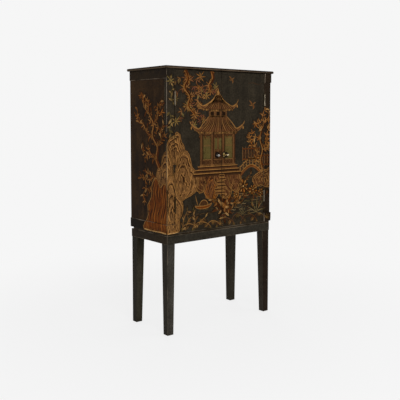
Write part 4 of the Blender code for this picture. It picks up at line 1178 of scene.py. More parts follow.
# %% Roofs
def roof(half, eave, tip, ridge_half, ridge, ribs):
    """A tiled roof with upturned tips."""
    middle = 0.5 * (eave + ridge)
    slope = (ridge_half, ridge, ridge_half + 0.12 * half, middle, 0.72 * half, eave + 10, half, tip)
    back = [(-u, v) for u, v in way(*slope)[::-1]]
    sweep = shifted(back, HOUSE_MIDDLE, HOUSE_BASE)
    sweep += house(0, ridge + 4, *slope, 0.74 * half, eave - 8, 0, eave - 13, -0.74 * half, eave - 8)
    shape(sweep, CLAY, OCHRE, 4.6)
    for k in range(-ribs, ribs + 1):
        share = k / ribs
        path = house(share * ridge_half, ridge, share * 0.5 * (ridge_half + 0.5 * half), middle,
                     share * 0.72 * half, eave - 4)
        line(path, 4.6, GOLD if k % 3 == 0 else OCHRE)
        line(shifted(path, 8), 5.4, UMBER)
    for side in (-1, 1):
        end = side * half
        line(house(side * ridge_half, ridge, side * (ridge_half + 0.2 * half), 0.45 * eave + 0.55 * ridge,
                   0.74 * end, eave + 10, end, tip, 1.05 * end, tip + 18), 6.6, GOLD, RIDGE)
        bell = house(end, tip - 10, end + 6, tip - 21, end, tip - 32, end - 6, tip - 21)
        shape(bell, GOLD, UMBER, 1.6, LINE)
    eaves = house(-0.74 * half, eave - 10, 0, eave - 15, 0.74 * half, eave - 10)
    bar(eaves, 7, OCHRE, RIDGE, 4)
    spray([eaves], "blossom", 22, 13, 0.0, (GOLD, UMBER), RIDGE + 0.1, 41, 0.1)


print("roofs ready")

# %% Garden house
BAYS = (-122, -42, 42, 122)
slab(-134, 0, 134, 196, BROWN)
for left, right in zip(BAYS, BAYS[1:]):
    slab(left + 9, 40, right - 9, 172, OLIVE, BODY)
    rim(oblong(left + 12, 44, right - 12, 168), 3.4, UMBER)
lattice(*house(-108, 118, -56, 164), 4, OCHRE)
lattice(*house(56, 118, 108, 164), 4, OCHRE)
slab(-33, 40, 33, 172, BROWN, LINE)
for u in (-16, 16):
    rim(oblong(u - 13, 46, u + 13, 166), 4, OCHRE, RIDGE)
    bar(house(u - 13, 92, u + 13, 92), 3.6, OCHRE, RIDGE)
    slab(u - 9, 98, u + 9, 160, OLIVE, RIDGE)
for u in BAYS:
    slab(u - 8, 0, u + 8, 190, CLAY, LINE)
    bar(house(u - 5, 4, u - 5, 186), 4, OCHRE, RIDGE)
    bar(house(u + 7, 4, u + 7, 186), 3.4, UMBER, RIDGE)
    slab(u - 12, 0, u + 12, 12, OCHRE, RIDGE + 0.1)
lattice(*house(-134, 8, 134, 38), 9, OCHRE, 3.6)
slab(-142, 184, 142, 199, OCHRE, LINE)
spray([house(-136, 182, 136, 182)], "leaf", 20, 20, 1.57, (RUST, OCHRE), RIDGE, 42, 0.15)
roof(196, 206, 242, 70, 284, 7)
slab(-68, 282, 68, 328, CLAY, BODY)
for u in (-44, 0, 44):
    slab(u - 18, 287, u + 18, 319, OCHRE, LINE)
    slab(u - 13, 292, u + 13, 314, UMBER, RIDGE)
roof(148, 336, 368, 18, 410, 6)
shape(house(-7, 410, 7, 410, 11, 422, 5, 434, 0, 458, -5, 434, -11, 422), GOLD, UMBER, 1.8, RIDGE)
print("garden house:", len(BAYS) - 1, "bays")

# %% Terrace and rockery
TERRACE = ((182, -58, -40, BROWN), (166, -40, -20, BROWN), (150, -20, 0, CLAY))
TERRACE_LIFT = 1.2
JOINTS = 9
ROCKERY = (
    (way(196, 884, 182, 846, 204, 806, 246, 790, 282, 812, 290, 850, 268, 886), (238, 796),
     DARK_ROCK, 0.5),
    (way(262, 880, 276, 840, 262, 790, 290, 752, 338, 744, 370, 780, 366, 836, 340, 884), (315, 752),
     BURNT_ROCK, -0.4),
    (way(340, 884, 352, 830, 380, 790, 390, 756, 430, 742, 468, 764, 470, 820, 446, 884), (424, 750),
     DARK_ROCK, 0.6),
    (way(444, 884, 456, 836, 476, 790, 516, 776, 546, 808, 552, 850, 520, 886), (505, 784),
     DARK_ROCK, -0.5),
)
STEPS_DOWN = way(395, 880, 400, 861, 386, 841, 393, 821, 376, 801, 382, 781)
for course, (half, low, high, tone) in enumerate(TERRACE):
    slab(-half, low, half, high, tone, TERRACE_LIFT)
    bar(house(-half, high, half, high), 5, GOLD, TERRACE_LIFT + 0.2)
    bar(house(-half, high - 6.5, half, high - 6.5), 5.6, UMBER, TERRACE_LIFT + 0.1)
    for k in range(JOINTS):
        joint = -half + (k + 0.5 * (course % 2)) * half / 4
        line(house(joint, low, joint, high), 4, UMBER, TERRACE_LIFT + 0.1, 1)
for level, (points, heart, tones, lean) in enumerate(ROCKERY):
    crag(points, heart, tones, level, lean)
for k, (u, v) in enumerate(STEPS_DOWN):
    half = 22 + 4 * k
    tread = way(u - half, v - 7, u + half, v - 7, u + half - 4, v + 6, u - half + 4, v + 6)
    fill(tread, BROWN, TERRACE_LIFT)
    rim(tread, 4, GOLD, TERRACE_LIFT + 0.2)
print("terrace courses:", len(TERRACE), "rocks:", len(ROCKERY))

# %% [markdown]
# ## Bridge, maple and right bank
# An arched bridge leads from the terrace to a bank on the right, past a trellis fence and under a
# maple. The bridge is an arc with posts at equal steps, and the maple's crown is a spray of leaf stars
# on its arms.

# %% Bridge
BRIDGE_ENDS = (540, 722)
BRIDGE_FOOT = 884
BRIDGE_RISE = 50
RAIL_LIFT = 36
POSTS = 7
BRIDGE_LINES = ((0, 5.6, GOLD), (-14, 4.4, OCHRE), (RAIL_LIFT, 6.0, GOLD), (0.5 * RAIL_LIFT, 3.4, OCHRE))


def bridge_place(share, lift):
    """A place on the bridge, by the share of its span and the height over its deck."""
    low, high = BRIDGE_ENDS
    return (low + (high - low) * share, BRIDGE_FOOT + BRIDGE_RISE * math.sin(math.pi * share) + lift)


spans = [k / 24 for k in range(25)]
deck = [bridge_place(s, 0) for s in spans]
deck += [bridge_place(s, -14 - 12 * abs(2 * s - 1)) for s in spans[::-1]]
fill(deck, RUST, BODY)
for lift, width, tone in BRIDGE_LINES:
    bar([bridge_place(s, lift) for s in spans[::3]], width, tone, LINE, 4)
for k in range(POSTS + 1):
    bar([bridge_place(k / POSTS, -2), bridge_place(k / POSTS, RAIL_LIFT + 10)], 5.8, GOLD)
print("bridge posts:", POSTS + 1)

# %% Trellis, maple and bank
FENCES = (((560, 968), (700, 1030), 6), ((700, 930), (788, 986), 4))
BANK = way(640, 842, 668, 872, 700, 884, 724, 906, 760, 896, 792, 910, 800, 800, 748, 792, 716, 806,
           680, 800, 652, 816)
MAPLE_TRUNK = way(726, 900, 712, 962, 728, 1022, 706, 1084, 716, 1140)
MAPLE_ARMS = [
    way(728, 1022, 756, 1062, 760, 1112, 784, 1150), way(706, 1084, 672, 1100, 640, 1086, 606, 1100),
    way(712, 962, 680, 1000, 664, 1050, 628, 1046), way(716, 1140, 734, 1186, 726, 1232, 752, 1272),
    way(716, 1140, 690, 1176, 664, 1180), way(734, 1186, 764, 1208, 784, 1204),
    way(728, 1022, 764, 1020, 784, 1050),
]
for low, high, columns in FENCES:
    lattice(low, high, columns, RUST, 4.4)
    for k in range(columns + 1):
        u = low[0] + k * (high[0] - low[0]) / columns
        bar([(u, low[1] - 10), (u, high[1] + 12)], 4.6, OCHRE)
crag(BANK, (730, 800), DARK_ROCK, 1, 0.3)
limb(MAPLE_TRUNK, 20, 9, RUST)
for arm in MAPLE_ARMS:
    limb(arm, 9, 4, RUST)
maple_shoots = side_twigs(MAPLE_ARMS, 6, 28, 50)
lines(maple_shoots, 4, BROWN, BODY)
spray(MAPLE_ARMS, "star", 44, 25, 0.7, (BROWN, RUST), BODY, 51, 0.2)
spray(maple_shoots, "fan", 32, 33, 0.3, (AMBER, GOLD_WARM), LINE, 52, 0.2)
spray(MAPLE_ARMS, "leaf", 40, 26, 0.9, (AMBER, GOLD_PALE), RIDGE, 53)
print("maple arms:", len(MAPLE_ARMS))

# %% [markdown]
# ## Flowers, meadow and water
# The lower half is a meadow that falls to water: peonies below the bridge, lines of grass along the
# falling ground, broad leaves at the waterside and round hillocks at the bottom. Peonies are rings of
# petals round a pale heart, the rest are lines and sprays.

# %% Peonies
PEONIES = ((566, 806, 44), (646, 780, 35), (510, 760, 24), (708, 758, 26))
PETAL = way(0.16, 0, 0.44, -0.11, 0.72, -0.19, 0.94, -0.11, 1, 0.02, 0.94, 0.13, 0.72, 0.19, 0.44, 0.11)
RINGS = ((1.0, 8, AMBER), (0.60, 5, RUST))
STEMS = ((-1.2, -0.9, -1.9, -0.4), (1.2, -0.8, 2.0, -0.5), (0.2, -1.4, -0.3, -2.2), (0.7, 1.1, 1.3, 1.5))
HEART_POINTS = 7
HEART_TURN = 0.9


def peony(u, v, radius, seed):
    """A full flower of two rings of petals, each with a dark edge, round a pale heart."""
    chance = random.Random(seed)
    for ring, (reach, petals, tone) in enumerate(RINGS):
        start = chance.uniform(0, math.tau)
        face = RIDGE + 0.1 * ring
        for k in range(petals):
            angle = start + math.tau * k / petals
            cos = radius * reach * math.cos(angle) * chance.uniform(0.85, 1.1)
            sin = radius * reach * math.sin(angle) * chance.uniform(0.85, 1.1)
            petal = [(u + a * cos - b * sin, v + a * sin + b * cos) for a, b in PETAL]
            fill(petal, tone if k % 2 else GOLD, face)
            rim(petal, 0.10 * radius, UMBER, face + 0.05)
    heart = [on_circle(HEART_TURN * k, 0.12 * radius) for k in range(HEART_POINTS)]
    fill(shifted(heart, u, v), GOLD_PALE, RIDGE + 0.4)


stems = [way(u, v, u + a * r, v + b * r, u + c * r, v + d * r)
         for u, v, r in PEONIES for a, b, c, d in STEMS]
lines(stems, 5, RUST, BODY)
spray(stems, "leaf", 26, 28, 0.8, (OLIVE, BROWN), BODY, 61)
spray(stems, "leaf", 44, 26, 0.7, (GOLD, RUST), LINE, 62)
for index, (u, v, radius) in enumerate(PEONIES):
    peony(u, v, radius, 70 + index)
print("peonies:", len(PEONIES))

# %% Waterside leaves, boat and ripples
CLUMP_ROOT = (420, 690)
CLUMP_ARMS = ((386, 716, 350, 722, 322, 742), (400, 736, 404, 770), (446, 730, 440, 764),
              (462, 712, 498, 710, 530, 724), (394, 676, 366, 682), (452, 672, 474, 678),
              (424, 656, 412, 632))
WATERSIDE_FLOWERS = way(344, 734, 404, 772, 512, 720)
BOAT = way(196, 716, 216, 700, 262, 696, 300, 704, 318, 724, 286, 714, 226, 712)
CABIN = way(232, 714, 240, 738, 262, 746, 282, 736, 288, 716)
OAR = way(222, 706, 206, 748, 200, 776)
WATER = [way(130, 690, 200, 684, 300, 690), way(160, 672, 260, 666, 350, 672),
         way(560, 862, 600, 856, 640, 862)]
clump = [way(*CLUMP_ROOT, *arm) for arm in CLUMP_ARMS]
lines(clump, 6, RUST, BODY)
spray(clump, "leaf", 18, 36, 0.75, (UMBER, RUST), BODY, 63)
spray(clump, "leaf", 22, 30, 0.7, (GOLD_PALE, AMBER), RIDGE, 64)
for u, v in WATERSIDE_FLOWERS:
    peony(u, v, 18, u)
shape(BOAT, RUST, GOLD, 4, LINE)
shape(CABIN, BROWN, GOLD, 3.6, RIDGE)
line(OAR, 4, GOLD, RIDGE)
spray(WATER, "ripple", 36, 42, 0.0, (OLIVE, OCHRE), BODY, 65, 0.3, 0.08)
print("waterside leaves on", len(clump), "stems")

# %% Meadow, hillocks and reeds
MEADOW_ROWS = 8
MEADOW_LEFT, MEADOW_RIGHT, MEADOW_FOOT = 370, 730, 652
HILLOCKS = ((150, 600, 52, 20), (244, 590, 70, 32), (330, 596, 50, 24), (424, 592, 72, 36),
            (520, 598, 56, 44), (612, 594, 70, 40), (700, 600, 52, 32))
GOLDEN_TO = 400
REEDS = ((672, 640, 105), (560, 636, 70))
BAMBOO = [way(106, 590, 116, 650, 140, 690), way(126, 586, 150, 640, 184, 664),
          way(190, 590, 196, 640, 184, 676), way(214, 590, 236, 626, 272, 644)]
for row in range(MEADOW_ROWS):
    u = MEADOW_LEFT + 12 * row + hand.uniform(0, 30)
    while u < MEADOW_RIGHT:
        reach = hand.uniform(30, 70)
        v = MEADOW_FOOT + 15.5 * row + hand.gauss(0, 2)
        path = [(u + reach * k / 3, v + 4 * (k % 2) + hand.gauss(0, 1.2)) for k in range(4)]
        line(path, 3, hand.choice((SAND, OLIVE, CLAY)))
        u += reach + hand.uniform(8, 30)
crests = []
for u, v, reach, rise in HILLOCKS:
    crest = way(u - reach, v - 6, u - 0.55 * reach, v + 0.75 * rise, u, v + rise,
                u + 0.6 * reach, v + 0.6 * rise, u + reach, v - 4)
    crests.append(crest)
    line(crest, 5.6, GOLD if u < GOLDEN_TO else CLAY)
    line(shifted(crest, 8, -13), 4.6, BROWN, BODY)
spray(crests, "tuft", 60, 26, 1.5, (GOLD, OLIVE), LINE, 67, 0.4, 0.4)
for k, (u, v, length) in enumerate(REEDS):
    spray([way(u, v, u + 1, v + 10)], "reed", 20, length, 0.0, (SAND, OLIVE), RIDGE, 68 + k, 0.1, 0.2)
lines(BAMBOO, 6, GOLD, BODY)
spray(BAMBOO, "leaf", 19, 32, 0.8, (OCHRE, OLIVE), LINE, 72)
spray(BAMBOO, "leaf", 36, 28, 0.9, (GOLD_PALE, RUST), RIDGE, 73)
print("meadow rows:", MEADOW_ROWS, "hillocks:", len(HILLOCKS))

# %% [markdown]
# ## Sky and right side
# The upper right is almost bare: two cranes cross it, with a wisp of cloud. Bare lacquer round the
# cranes is part of the design, because it lets the house stand out. The right side answers the left
# one, with a smaller crag and the same plum, turned over.

# %% Cranes, clouds and right side
CRANE = way(-40, -6, -16, -4, 4, 4, 26, 18, 44, 20, 28, 12, 10, -6, -10, -12)
WINGS = (way(-10, 0, -22, 20, -40, 34, -24, 30, -2, 12), way(4, 0, 14, -22, 8, -42, 26, -24, 16, -2))
FLOCK = ((470, 1440, 0.50), (636, 1296, 0.66))
CLOUDS = [way(600, 1420, 640, 1426, 680, 1418, 716, 1422), way(-320, 1384, -260, 1378, -200, 1386)]
SIDE_FRONT = 804
RIGHT_TREE_DROP = -85
for u, v, size in FLOCK:
    for outline, tone in ((CRANE, OCHRE), (WINGS[0], RUST), (WINGS[1], RUST)):
        shape([(u + size * a, v + size * b) for a, b in outline], tone, OCHRE, 2.4, BODY, 3)
lines(CLOUDS, 3.4, BROWN, WASH)


def turned_over(points):
    """Places of the left side as they lie on the right side."""
    return [(SIDE_FRONT - u, v) for u, v in points]


crag(shifted(turned_over(SHOULDER)[::-1], 34, -60), (SIDE_FRONT + 64, 780), TAN_ROCK, 0, 0.15)
crag(turned_over(ROOT)[::-1], turned_over([ROOT_HEART])[0], RED_ROCK, 1, 0.12, STREAKS, ())
right_twigs = [shifted(turned_over(twig), 0, RIGHT_TREE_DROP) for twig in PLUM_TWIGS[:5]]
leafy_tree(shifted(turned_over(PLUM_TRUNK), 0, RIGHT_TREE_DROP), right_twigs, 81)
print("shapes on the sheet:", len(ink["faces"]), "faces")

# %% [markdown]
# ## Folding the sheet round the case
# The sheet is cut at the edge of every board, so that a door takes its own part of the garden along
# when it opens. Each cut part is carried to its board, where it becomes a shell: a top face that stands
# proud by the height of the brush, a bottom face just under the lacquer, and a wall between them. The
# plinth and frieze stand further out than the field, and near the corner the sheet is stretched to
# reach round them. From here on the sheet is in metres again.

# %% Panels
EDGE_CLEAR = 0.0009
BED = 0.00005
STRETCH_REACH = 0.06
HINGE_CLEAR = 0.0055
HINGE_END_CLEAR = 0.002
FITTING_OVERLAP = 0.001
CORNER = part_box("stile_left")[0]
FRONT_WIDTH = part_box("stile_right")[1].x - CORNER.x
CASE_LOW, CASE_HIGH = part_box("side_left")
SIDE_DEPTH = CASE_HIGH.y - CORNER.y
PLINTH_LOW, PLINTH_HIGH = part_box("plinth_side_left")
FRIEZE_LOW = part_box("frieze_side_left")[0]
LEVELS = (
    (CASE_LOW.z, PLINTH_HIGH.z, CORNER.x - PLINTH_LOW.x),
    (PLINTH_HIGH.z, FRIEZE_LOW.z, 0.0),
    (FRIEZE_LOW.z, CASE_HIGH.z, CORNER.x - FRIEZE_LOW.x),
)


def front_ends(node_name):
    """A front board's ends along the sheet."""
    low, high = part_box(node_name)
    return low.x - CORNER.x, high.x - CORNER.x


def hinge_zones(side):
    """The sheet's rectangles under the hinge barrels of a side."""
    zones = []
    for level in ("lower", "upper"):
        low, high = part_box(f"hinge_{level}_{side}_pin")
        middle = 0.5 * (low.x + high.x) - CORNER.x
        zones.append((middle - HINGE_CLEAR, middle + HINGE_CLEAR, low.z - HINGE_END_CLEAR,
                      high.z + HINGE_END_CLEAR))
    return zones


def plate_zone(node_name, margin):
    """The sheet's rectangle under a fitting on a door."""
    low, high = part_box(node_name)
    return (low.x - CORNER.x + margin, high.x - CORNER.x - margin, low.z + margin, high.z - margin)


panels = []
for low_v, high_v, proud in LEVELS:
    panels.append(("case", "left", -SIDE_DEPTH, 0.0, low_v, high_v, proud, []))
    panels.append(("case", "right", FRONT_WIDTH, FRONT_WIDTH + SIDE_DEPTH, low_v, high_v, proud, []))
    for side in ("left", "right"):
        ends = front_ends("stile_" + side)
        panels.append(("case", "front", *ends, low_v, high_v, proud, hinge_zones(side)))
for side, fittings in (("left", ["knob_rose_left"]), ("right", ["knob_rose_right", "escutcheon"])):
    low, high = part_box("door_" + side)
    zones = hinge_zones(side) + [plate_zone(fitting, FITTING_OVERLAP) for fitting in fittings]
    panels.append((side + "_door", "front", *front_ends("door_" + side), low.z, high.z, 0.0, zones))
print("panels:", len(panels))

# %% [markdown]
# ## Rubbed gold and painted shadow round the fittings
# Fingers have rubbed the gold round the knobs and the lock plate down to the dark ground, and the same
# dark spots stand for the fittings' shadow on the door, widest round the left knob. Each spot is one more
# shape on the sheet, an uneven oval round the fitting's box that lies over the drawing.

# %% Rubbed gold and painted shadow round the fittings
GRIME_AND_SHADOW = linear(27, 19, 11)
SPOT_POINTS = 22
SPOT_MARGINS = {"knob_rose_left": 0.010, "knob_rose_right": 0.008, "escutcheon": 0.006}
SPOT_WAVER = 0.12
SPOT_HEIGHT = 0.90
# Each oval is partly rubbed gold and partly painted shadow of its fitting.
for fitting, margin in SPOT_MARGINS.items():
    low_u, high_u, low_v, high_v = (edge / MM for edge in plate_zone(fitting, -margin))
    spot = []
    for i in range(SPOT_POINTS):
        reach = 0.5 * (1 + hand.uniform(-SPOT_WAVER, SPOT_WAVER))
        across, up = on_circle(math.tau * i / SPOT_POINTS, reach)
        spot.append((0.5 * (low_u + high_u) + across * (high_u - low_u),
                     0.5 * (low_v + high_v) + up * (high_v - low_v)))
    fill(curve_through(spot, 3, True), GRIME_AND_SHADOW, SPOT_HEIGHT)
print("handled spots:", len(SPOT_MARGINS))

# %% Cut the sheet
SLIVER = 1e-10
inked = [(u * MM, v * MM) for u, v in ink["places"]]


def cut(sheet, across, at, drop=0):
    """Cuts the sheet across u (0) or v (1), and drops what is on one side if told to."""
    place = Vector((0, 0, 0))
    outward = Vector((0, 0, 0))
    place[across] = at
    outward[across] = drop or 1
    everything = sheet.verts[:] + sheet.edges[:] + sheet.faces[:]
    bmesh.ops.bisect_plane(sheet, geom=everything, plane_co=place, plane_no=outward, clear_outer=drop != 0)


def cut_panel(low_u, high_u, low_v, high_v, zones):
    """The part of the sheet inside a rectangle, without the zones that fittings cover."""
    sheet = bmesh.new()
    tone_layer = sheet.verts.layers.float_color.new("tone")
    height_layer = sheet.verts.layers.float.new("height")
    used = {}
    for face in ink["faces"]:
        us = [inked[i][0] for i in face]
        vs = [inked[i][1] for i in face]
        if max(us) < low_u or min(us) > high_u or max(vs) < low_v or min(vs) > high_v:
            continue
        for i in face:
            if i not in used:
                used[i] = sheet.verts.new((*inked[i], 0))
                used[i][tone_layer] = ink["tones"][i]
                used[i][height_layer] = ink["heights"][i] * MM
        sheet.faces.new([used[i] for i in face])
    for across, at, drop in ((0, low_u, -1), (0, high_u, 1), (1, low_v, -1), (1, high_v, 1)):
        cut(sheet, across, at, drop)
    for zone in zones:
        for across, at in zip((0, 0, 1, 1), zone):
            cut(sheet, across, at)
        middles = [(face, face.calc_center_median()) for face in sheet.faces]
        covered = [f for f, m in middles if zone[0] < m.x < zone[1] and zone[2] < m.y < zone[3]]
        bmesh.ops.delete(sheet, geom=covered, context="FACES")
    slivers = [f for f in sheet.faces if f.calc_area() < SLIVER]
    bmesh.ops.delete(sheet, geom=slivers, context="FACES")
    sheet.verts.index_update()
    return sheet, tone_layer, height_layer


print("places on the sheet:", len(inked))


# %% Fold and thicken
def fold(face_name, u, v, lift):
    """Carries a place on the sheet to a face of the case, lifted off it."""
    if face_name == "left":
        return (CORNER.x - lift, CORNER.y - u, v)
    if face_name == "right":
        return (CORNER.x + FRONT_WIDTH + lift, CORNER.y + u - FRONT_WIDTH, v)
    return (CORNER.x + u, CORNER.y - lift, v)


def round_corner(face_name, u, proud):
    """Draws a place near a corner out over the thickness of a band, so that the gold meets on its mitre."""
    left = max(0.0, 1 - abs(u) / STRETCH_REACH)
    right = max(0.0, 1 - abs(u - FRONT_WIDTH) / STRETCH_REACH)
    outward = {"left": left, "front": right - left, "right": -right}[face_name]
    return u + proud * outward


shells = {}
for body, face_name, low_u, high_u, low_v, high_v, proud, zones in panels:
    sheet, tone_layer, height_layer = cut_panel(low_u + EDGE_CLEAR, high_u - EDGE_CLEAR, low_v + EDGE_CLEAR,
                                                high_v - EDGE_CLEAR, zones)
    places, faces, tones = shells.setdefault(body, ([], [], []))
    start = len(places)
    count = len(sheet.verts)
    for rise in (1, 0):
        for vert in sheet.verts:
            lift = proud + (vert[height_layer] if rise else -BED)
            places.append(fold(face_name, round_corner(face_name, vert.co.x, proud), vert.co.y, lift))
            tones.extend(vert[tone_layer])
    for face in sheet.faces:
        ring = [start + v.index for v in face.verts]
        faces.append(ring)
        faces.append([count + i for i in reversed(ring)])
    for edge in sheet.edges:
        if len(edge.link_loops) == 1:
            loop = edge.link_loops[0]
            a = start + loop.vert.index
            b = start + loop.link_loop_next.vert.index
            faces.append([count + a, count + b, b, a])
    sheet.free()
print("shell faces:", {body: len(shell[1]) for body, shell in shells.items()})

# %% Gilded pieces
for body, (places, faces, tones) in shells.items():
    mesh = bpy.data.meshes.new("gilding_" + body)
    mesh.from_pydata(places, [], faces)
    mesh.attributes.new("tone", "FLOAT_COLOR", "POINT").data.foreach_set("color", tones)
    mesh.materials.append(gilding)
    piece = add_object("gilding_" + body, mesh)
    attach(piece, body)
for stamp in stamps.values():
    bpy.data.objects.remove(stamp)
print("gilded pieces:", sorted(shells))

# %% [markdown]
# ## Screws
# Hinges, lock, bolts and back panels are held by slotted screws too small for parts of their own. A
# head is the same shape everywhere, so it is made once and set by Geometry Nodes on points that carry
# where the head faces and how big it is. Each head is turned by chance, because nobody lines up the
# slots by hand.

# %% Screw head
HEAD_SIDES = 14
SLOT_SIDES = 7
SLOT_ANGLE = 8
HEAD_REACH = 0.46


def make_head():
    """A slotted head one unit across: a disc, and two half rounds that leave the slot between them."""
    corners = []
    faces = []

    def prism(outline, low, high):
        start = len(corners)
        count = len(outline)
        corners.extend((x, y, low) for x, y in outline)
        corners.extend((x, y, high) for x, y in outline)
        faces.append([start + i for i in reversed(range(count))])
        faces.append([start + count + i for i in range(count)])
        for i in range(count):
            after = (i + 1) % count
            faces.append([start + i, start + after, start + count + after, start + count + i])

    prism([on_circle(math.tau * k / HEAD_SIDES, 0.5) for k in range(HEAD_SIDES)], -0.1, 0.5)
    opening = 180 - 2 * SLOT_ANGLE
    for half_turn in (0.0, math.pi):
        angles = [half_turn + math.radians(SLOT_ANGLE + opening * k / SLOT_SIDES)
                  for k in range(SLOT_SIDES + 1)]
        prism([on_circle(angle, HEAD_REACH) for angle in angles], 0.4, 1.0)
    mesh = bpy.data.meshes.new("screw_head")
    mesh.from_pydata(corners, [], faces)
    return add_object("screw_head", mesh)


screw_head = make_head()
print("a screw head has", len(screw_head.data.polygons), "faces")

# %% Screw tree
screw_tree, given, result = make_group(
    "screw heads", GEOMETRY + [("Head", "Object"), ("Seed", "Int"), ("Material", "Material")], GEOMETRY,
    "GeometryNodeTree",
)
tree = screw_tree
facing, size = (add_node(tree, "GeometryNodeInputNamedAttribute", {"data_type": "FLOAT_VECTOR"},
                         Name=label).outputs[0] for label in ("facing", "size"))
upright = add_node(tree, "FunctionNodeAlignRotationToVector", {"axis": "Z"}, Vector=facing).outputs[0]
turned = turned_about_z(tree, upright, random_value(tree, 0.0, math.tau, given["Seed"]), "LOCAL")
heads = set_on_points(tree, given["Geometry"], given["Head"], turned, size)
end_tree(tree, result, heads, given["Material"])
print("tree:", screw_tree.name)

# %% Screws of the hinges
LEAF_PROUD = 0.0005
LEAF_MIDDLE = 0.008
HINGE_STEP = 0.024
STAGGER = 0.0025
HINGE_SCREW = (0.0042, 0.00025)
screws = {}


def screw(body, metal, place, facing, kind):
    """Notes one screw on a body, with its head's width and rise."""
    screws.setdefault((body, metal), []).append((place, facing, (kind[0], kind[0], kind[1])))


for side, inward in (("left", 1), ("right", -1)):
    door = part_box("door_" + side)
    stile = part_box("stile_" + side)
    door_edge = door[0].x if inward > 0 else door[1].x
    stile_edge = stile[1].x if inward > 0 else stile[0].x
    for level in ("lower", "upper"):
        low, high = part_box(f"hinge_{level}_{side}_pin")
        for step in (-1, 0, 1):
            depth = door[0].y + LEAF_MIDDLE + STAGGER * (2 * abs(step) - 1)
            rise = 0.5 * (low.z + high.z) + HINGE_STEP * step
            on_stile = (stile_edge + inward * LEAF_PROUD, depth, rise)
            on_door = (door_edge - inward * LEAF_PROUD, depth, rise)
            screw("case", "brass", on_stile, (inward, 0, 0), HINGE_SCREW)
            screw(side + "_door", "brass", on_door, (-inward, 0, 0), HINGE_SCREW)
print("screws of the hinges:", sum(len(rows) for rows in screws.values()))

# %% Screws of fittings and panels
LOCK_SCREW = (0.0036, 0.00040)
STRIKE_SCREW = (0.0036, 0.00025)
PLATE_SCREW = (0.0028, 0.00040)
PIN_HEAD = (0.0020, 0.00040)
PANEL_SCREW = (0.0052, 0.00050)
LOCK_INSET = (0.004, 0.005)
STRIKE_INSET = 0.004
PLATE_INSET = (0.002, 0.0032)
PLATE_THICKNESS = 0.0018
PIN_INSET = 0.0036
PANEL_STEP = 0.150
PANEL_INSET = 0.0048


def corners_of(node_name, inset_x, inset_z):
    """The four corners of a plate, drawn in."""
    low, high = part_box(node_name)
    ends_x = (low.x + inset_x, high.x - inset_x)
    ends_z = (low.z + inset_z, high.z - inset_z)
    return [(x, z) for x in ends_x for z in ends_z]


for x, z in corners_of("lock_case", *LOCK_INSET):
    screw("right_door", "steel", (x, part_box("lock_case")[1].y, z), (0, 1, 0), LOCK_SCREW)
low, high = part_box("lock_strike")
for z in (low.z + STRIKE_INSET, high.z - STRIKE_INSET):
    screw("left_door", "brass", (high.x, 0.5 * (low.y + high.y), z), (1, 0, 0), STRIKE_SCREW)
plate_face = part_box("door_left")[1].y + PLATE_THICKNESS
for level in ("lower", "upper"):
    for x, z in corners_of("bolt_plate_" + level, *PLATE_INSET):
        screw("left_door", "brass", (x, plate_face, z), (0, 1, 0), PLATE_SCREW)
low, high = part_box("escutcheon")
for z in (low.z + PIN_INSET, high.z - PIN_INSET):
    screw("right_door", "brass", (0.5 * (low.x + high.x), low.y, z), (0, -1, 0), PIN_HEAD)
for panel, board in (("back_lower", "case_bottom"), ("back_upper", "inner_top")):
    low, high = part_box(panel)
    board_level = 0.5 * (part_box(board)[0].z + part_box(board)[1].z)
    columns = round((high.x - low.x) / PANEL_STEP)
    for k in range(1, columns):
        across = low.x + k * (high.x - low.x) / columns
        screw("case", "steel", (across, high.y, board_level), (0, 1, 0), PANEL_SCREW)
    rows = round((high.z - low.z) / PANEL_STEP)
    for k in range(rows):
        rise = low.z + (k + 0.5) * (high.z - low.z) / rows
        for x in (low.x + PANEL_INSET, high.x - PANEL_INSET):
            screw("case", "steel", (x, high.y, rise), (0, 1, 0), PANEL_SCREW)
print("kinds of screw:", len(screws))

# %% Screw pieces
for seed, ((body, metal), rows) in enumerate(sorted(screws.items())):
    points = bpy.data.meshes.new("screw_points")
    points.from_pydata([place for place, facing, size in rows], [], [])
    for label, column in (("facing", 1), ("size", 2)):
        values = [c for row in rows for c in row[column]]
        points.attributes.new(label, "FLOAT_VECTOR", "POINT").data.foreach_set("vector", values)
    settings = {"Head": screw_head, "Seed": seed, "Material": metal_finishes[metal]}
    piece = add_object(f"screws_{body}_{metal}", run_tree(points, screw_tree, settings))
    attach(piece, body)
bpy.data.objects.remove(screw_head)
print("screws:", {f"{body} {metal}": len(rows) for (body, metal), rows in screws.items()})

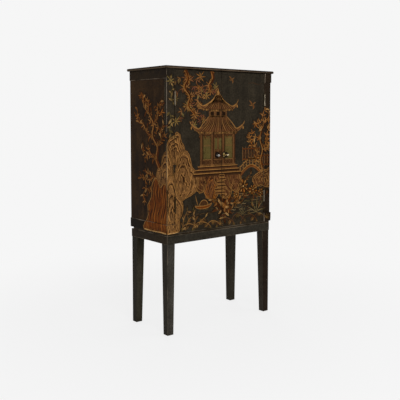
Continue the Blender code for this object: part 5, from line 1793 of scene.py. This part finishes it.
# %% [markdown]
# ## Two laths
# The deck stops short of the back rail, and light would shine through the slot between them. A joiner
# closes such a slot with a batten, so a thin one stands in it here. In the same way a pair of doors has
# a cover strip behind the gap where they meet. It is on the left door, which the slide bolts hold while
# the right one opens.

# %% Laths
LATH_ARRIS = 0.0004
LATH_CLEAR = 0.0001
BATTEN_INSET = 0.022
BATTEN_RISE = 0.009
BATTEN_DROP = 0.007
STRIP_ON_LEFT = 0.013
STRIP_OVER_RIGHT = 0.0015
STRIP_THICKNESS = 0.004
STRIP_END_CLEAR = 0.004


def lath(name, low, high, finish):
    """A thin straight piece of wood that fills a box, with its arrises taken off."""
    solid = bmesh.new()
    bmesh.ops.create_cube(solid, size=1.0)
    for vert in solid.verts:
        vert.co = Vector([low[i] if vert.co[i] < 0 else high[i] for i in range(3)])
    bmesh.ops.bevel(solid, geom=solid.edges[:], offset=LATH_ARRIS, segments=1, affect="EDGES")
    mesh = bpy.data.meshes.new(name)
    solid.to_mesh(mesh)
    solid.free()
    mesh.materials.append(finish)
    print(name, [round(size, 4) for size in high - low])
    return add_object(name, mesh)


deck_low, deck_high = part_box("stand_deck")
rail_low, rail_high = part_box("rail_back")
batten_low = Vector((deck_low.x + BATTEN_INSET, deck_high.y + LATH_CLEAR, rail_high.z - BATTEN_DROP))
batten_high = Vector((deck_high.x - BATTEN_INSET, rail_low.y - LATH_CLEAR, rail_high.z + BATTEN_RISE))
batten = lath("stand_batten", batten_low, batten_high, nodes["rail_back"].data.materials[0])
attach(batten, "case")

left_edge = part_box("door_left")[1]
right_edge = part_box("door_right")[0]
strip_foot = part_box("case_bottom")[1].z + STRIP_END_CLEAR
strip_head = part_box("inner_top")[0].z - STRIP_END_CLEAR
strip_low = Vector((left_edge.x - STRIP_ON_LEFT, left_edge.y + LATH_CLEAR, strip_foot))
strip_high = Vector((right_edge.x + STRIP_OVER_RIGHT, left_edge.y + STRIP_THICKNESS, strip_head))
strip_finish = lacquer_finish("meeting_strip", strip_low, strip_high, "doors")
meeting_strip = lath("meeting_strip", strip_low, strip_high, strip_finish)
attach(meeting_strip, "left_door")
